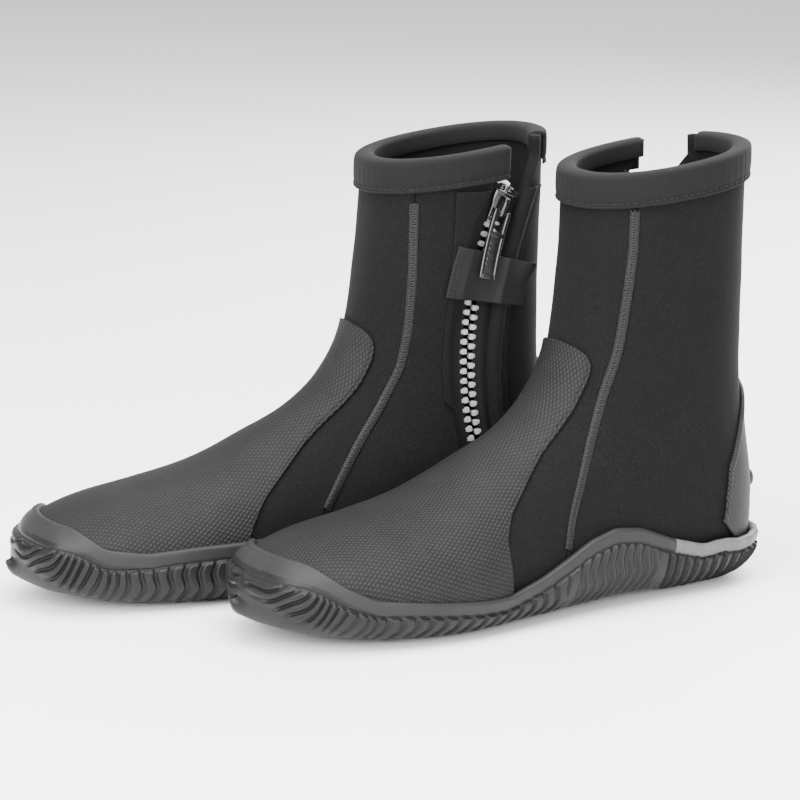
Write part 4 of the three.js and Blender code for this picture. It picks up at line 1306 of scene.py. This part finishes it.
def bridge():
    """The arch that holds the pull, its feet spread into wings."""
    rows = []
    for u in np.linspace(0, 1, 41):
        a = math.pi * u
        s = -5.8 * math.copysign(abs(math.cos(a)) ** 0.55, math.cos(a))
        rise = 6.0 * abs(math.sin(a)) ** 0.45
        ds = 5.1 * math.copysign(abs(math.cos(a)) ** 0.55, math.cos(a))
        inner = 4.7 * abs(math.sin(a)) ** 0.45
        wing = 1.2 + 2.6 * (1 - bump_up(rise, 0.4, 3.4))
        ring = []
        for k in range(16):
            b = 2 * math.pi * k / 16
            out = 0.5 + 0.5 * math.copysign(abs(math.sin(b)) ** 0.6, math.sin(b))
            r = wing * math.copysign(abs(math.cos(b)) ** 0.7, math.cos(b))
            ring.append(carry(s * out - ds * (1 - out), r, TOP_Y + 0.3 - rise * out - inner * (1 - out)))
        rows.append(ring)
    return rings(rows)


slider_parts = [plate(1), plate(-1), bridge(),
                round_block(carry, (3.6, 7.0), (-0.4, 0.4), (-PLATE_IN - 0.4, PLATE_IN + 0.4), 0.3),
                round_block(carry, (5.3, 7.2), (-4.4, 4.4), (TOP_Y - 0.9, TOP_Y + 0.3), 0.4)]
add("zip_slider", merged(slider_parts), [gloss_look], smooth_angle=48)

# %% Pull tab
PULL_W, PULL_LEN, PULL_T, LEAN = 9, 33, 1.8, 0.17
BAR = 1.6
bar_y = TOP_Y - 6 + 1.3 + 0.45 + BAR / 2
CROSS = SLIDER_AT - (5 - 0.8 - 0.5 - BAR / 2) * MM
carry_pull = lambda s, r, y: on_zip(CROSS - s * MM, r, bar_y + y - s * LEAN)
half = PULL_W / 2
pull_parts = [
    round_block(carry_pull, (-0.8, 0.8), (-half + 1, half - 1), (-0.8, 0.8), 0.78),
    round_block(carry_pull, (-1.5, 11.5), (half - 2, half), (-2.1, 0.5), 0.55),
    round_block(carry_pull, (-1.5, 11.5), (-half, -half + 2), (-2.1, 0.5), 0.55),
    round_block(carry_pull, (9.5, PULL_LEN), (-half, -half + 1.7), (-2.2, -0.4), 0.5),
    round_block(carry_pull, (9.5, PULL_LEN), (half - 1.7, half), (-2.2, -0.4), 0.5),
    round_block(carry_pull, (9.6, 12.2), (-half + 0.3, half - 0.3), (-2.2, -0.4), 0.5),
    round_block(carry_pull, (PULL_LEN - 2.6, PULL_LEN + 0.2), (-half + 1, half - 1), (-2.2, -0.4), 0.5),
    round_block(carry_pull, (10.5, PULL_LEN - 1), (-half + 1, half - 1), (-1.7, -0.8), 0.3)]
for at in (15.0, 17.6, 20.2, 22.8, 25.4):
    pull_parts.append(round_block(carry_pull, (at, at + 1.1), (-half + 2.1, half - 2.1), (-2.15, -1.4), 0.3))
add("zip_pull", merged(pull_parts), [gloss_look], smooth_angle=50)

# %% [markdown]
# ## Soft pieces round the zip
# Behind the zip a thin gusset keeps water out. A short strap of coated webbing lies over the chain
# and holds the pull down; it is sewn in front and sticks to a patch of loops behind, and its free
# corner has curled up. A plain white label stands in the gap at the top. All are cloth, so they
# are thin sheets with a little life in them: low folds in the gusset and a curl in the strap.

# %% Gusset, strap, loop patch and label
def zip_sheet(deg, rho, off, thick, wave=0.0, inward=True):
    D, R = np.meshgrid(deg, rho, indexing="ij")
    height = off(D, R) + wave * np.sin(D * 1.1) * np.sin(R / 3.4 + D / 5)
    top = under_zip(D, R, height)
    step = -thick if inward else thick
    low = under_zip(D, R, height + step)
    uv = np.stack([R, np.radians(D) * ZIP["r"]], -1)
    return outside_out(skin(top, low, uv))


def gusset_off(deg, rho):
    dip = np.clip(((rho + 20) / -45 + 1 - 0.14) / 0.19, 0, 1)
    u = (25 - rho) / 45
    return -NEOPRENE - LAY - 0.4 - bump_up(u, 0.12, 0.36) * 6.3


gusset_rho = np.linspace(25, -20, 60)
add("zip_gusset", zip_sheet(np.linspace(ZIP["bottom"] + 1, ZIP["top"] - 3, 90), gusset_rho, gusset_off,
                            2.0, 0.35), [gusset_look])

LOW, HIGH, FRONT, REAR, STRAP_T = 9.6, 17.0, 17.0, -22.0, 1.6
ON_FACING = LAY * 0.75 + 1.2 + 0.45


def strap_off(deg, rho):
    u = (FRONT - rho) / (FRONT - REAR)
    sag = 1.6 * np.maximum(0, 1 - (np.abs(rho) / 9) ** 2)
    corner = bump_up((deg - LOW) / (HIGH - LOW), 0.35, 1.0) * bump_up(u, 0.72, 1.0)
    lift = np.where(rho < -8, 1.35, 0) * bump_up(-rho, 8, 10.5)
    return ON_FACING + STRAP_T - sag + lift + 12 * np.maximum(0, u - 0.83) * 0.6 + corner * 3.2


def soft_strap(o, side):
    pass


add("keeper_strap", zip_sheet(np.linspace(LOW, HIGH, 40), np.linspace(FRONT, REAR, 64), strap_off,
                              STRAP_T), [strap_look], soft=soft_strap)
add("keeper_loop_patch", zip_sheet(np.linspace(LOW + 1, HIGH - 1, 24), np.linspace(-SLOT - 1, -SLOT - 8, 16),
                                   lambda d, r: ON_FACING + 0.9 + 0 * d, 0.9), [gusset_look])
hem = []
for rho in (FRONT - 1.5, FRONT - 3.6):
    d = np.linspace(LOW + 0.4, HIGH - 0.4, 60)
    r = np.full(d.shape, rho)
    at = on_zip(d, r)
    t, deg = find(at[:, 0], at[:, 2], -1)
    hem.append(stitches(point(t, deg, strap_off(d, r) + 0.05), outward(t, deg), 1.8, 0.8, 0.24))
extra_piece("strap_stitches", merged(hem), thread_look, "strap")


def label_off(deg, rho):
    return -NEOPRENE - LAY - 0.4 - 6.3 + 0.85 + 1.6 * bump_up(deg, ZIP["top"] - 4, ZIP["top"] + 1.5)


add("care_label", zip_sheet(np.linspace(ZIP["top"] - 6.5, ZIP["top"] + 1.5, 30), np.linspace(4, -9, 20),
                            label_off, 0.4), [label_look],
    soft=lambda o, s: o)

# %% [markdown]
# ## Inside the boot
# A loose foam footbed lies on the stitched board. It is soft, so its edges are round and its face
# is dished a little by the heel and the ball of the foot. The board is hidden between the footbed
# and the rubber, so its own solid stays, with a cloth finish.

# %% Footbed and board
def footbed():
    t = np.linspace(1.5, 9.5, 120)
    deg = between(np.full(t.shape, 154.0), np.full(t.shape, 206.0), 60)
    T = np.broadcast_to(t[:, None], deg.shape)
    flat = point(T, deg, -NEOPRENE - 0.45)
    m = lengths(flat)
    across = m[..., 0]
    edge = rolled(across, 1.8)
    dish = 0.9 * np.exp(-(((deg - 180) / 14) ** 2)) * np.exp(-(((T - 8.3) / 0.8) ** 2))
    dish += 0.7 * np.exp(-(((deg - 180) / 16) ** 2)) * np.exp(-(((T - 4.0) / 1.2) ** 2))
    top = point(T, deg, -NEOPRENE - 0.45 - 4.0 + edge + dish)
    return outside_out(skin(top, flat, m))


add("insole", footbed(), [footbed_look], soft=lambda o, s: o)
for side in SIDES:
    board = frame["nodes"][f"{side}_strobel_board"]
    board.data.materials.clear()
    board.data.materials.append(footbed_look)

# %% [markdown]
# ## The studio
# A catalogue studio is a pale sweep of paper and large soft lights, so that black rubber shows its
# shape by broad, gentle reflections. One big light stands over the boots, one to each side, and a
# low one lifts the toes. The camera stands far off with a long lens, a little above the boots.

# %% Floor, lights and camera
floor_look = Look("floor", Roughness=0.7)
floor_look.feed("Base Color", floor_look.mix(grey(0.86), grey(0.9), floor_look.noise(0.002, 2)))
edge = 4.0
floor = mesh_object("floor", [[-edge, -edge, 0], [edge, -edge, 0], [edge, edge, 0], [-edge, edge, 0]],
                    [[0, 1, 2, 3]], [floor_look.material])

world = bpy.data.worlds.new("studio")
world.use_nodes = True
world.node_tree.nodes["Background"].inputs["Color"].default_value = (1, 1, 1, 1)
world.node_tree.nodes["Background"].inputs["Strength"].default_value = 0.9
bpy.context.scene.world = world


def softbox(name, place_m, size, watts):
    """A square area light that looks at the middle of the boots."""
    lamp = bpy.data.lights.new(name, "AREA")
    lamp.energy, lamp.size = watts, size
    obj = bpy.data.objects.new(name, lamp)
    obj.location = place_m
    obj.rotation_euler = (Vector((0, 0, 0.1)) - Vector(place_m)).to_track_quat("-Z", "Y").to_euler()
    bpy.context.scene.collection.objects.link(obj)
    return obj


softbox("over", (0.1, 0.3, 1.5), 1.4, 95)
softbox("beside", (1.3, 0.5, 0.9), 1.1, 70)
softbox("toes", (0.3, 1.5, 0.55), 0.9, 36)
softbox("behind", (-1.2, -0.6, 1.0), 1.1, 50)

EYE = Vector((0.8515, 1.5324, 0.4883))  # metres, the camera's place
AIM = Vector((-0.4763, -0.8518, -0.2180))  # and the way it looks
lens = bpy.data.cameras.new("camera")
lens.lens, lens.sensor_width = 162.05, 36
camera = bpy.data.objects.new("camera", lens)
camera.location = EYE
camera.rotation_euler = AIM.to_track_quat("-Z", "Y").to_euler()
bpy.context.scene.collection.objects.link(camera)
bpy.context.scene.camera = camera
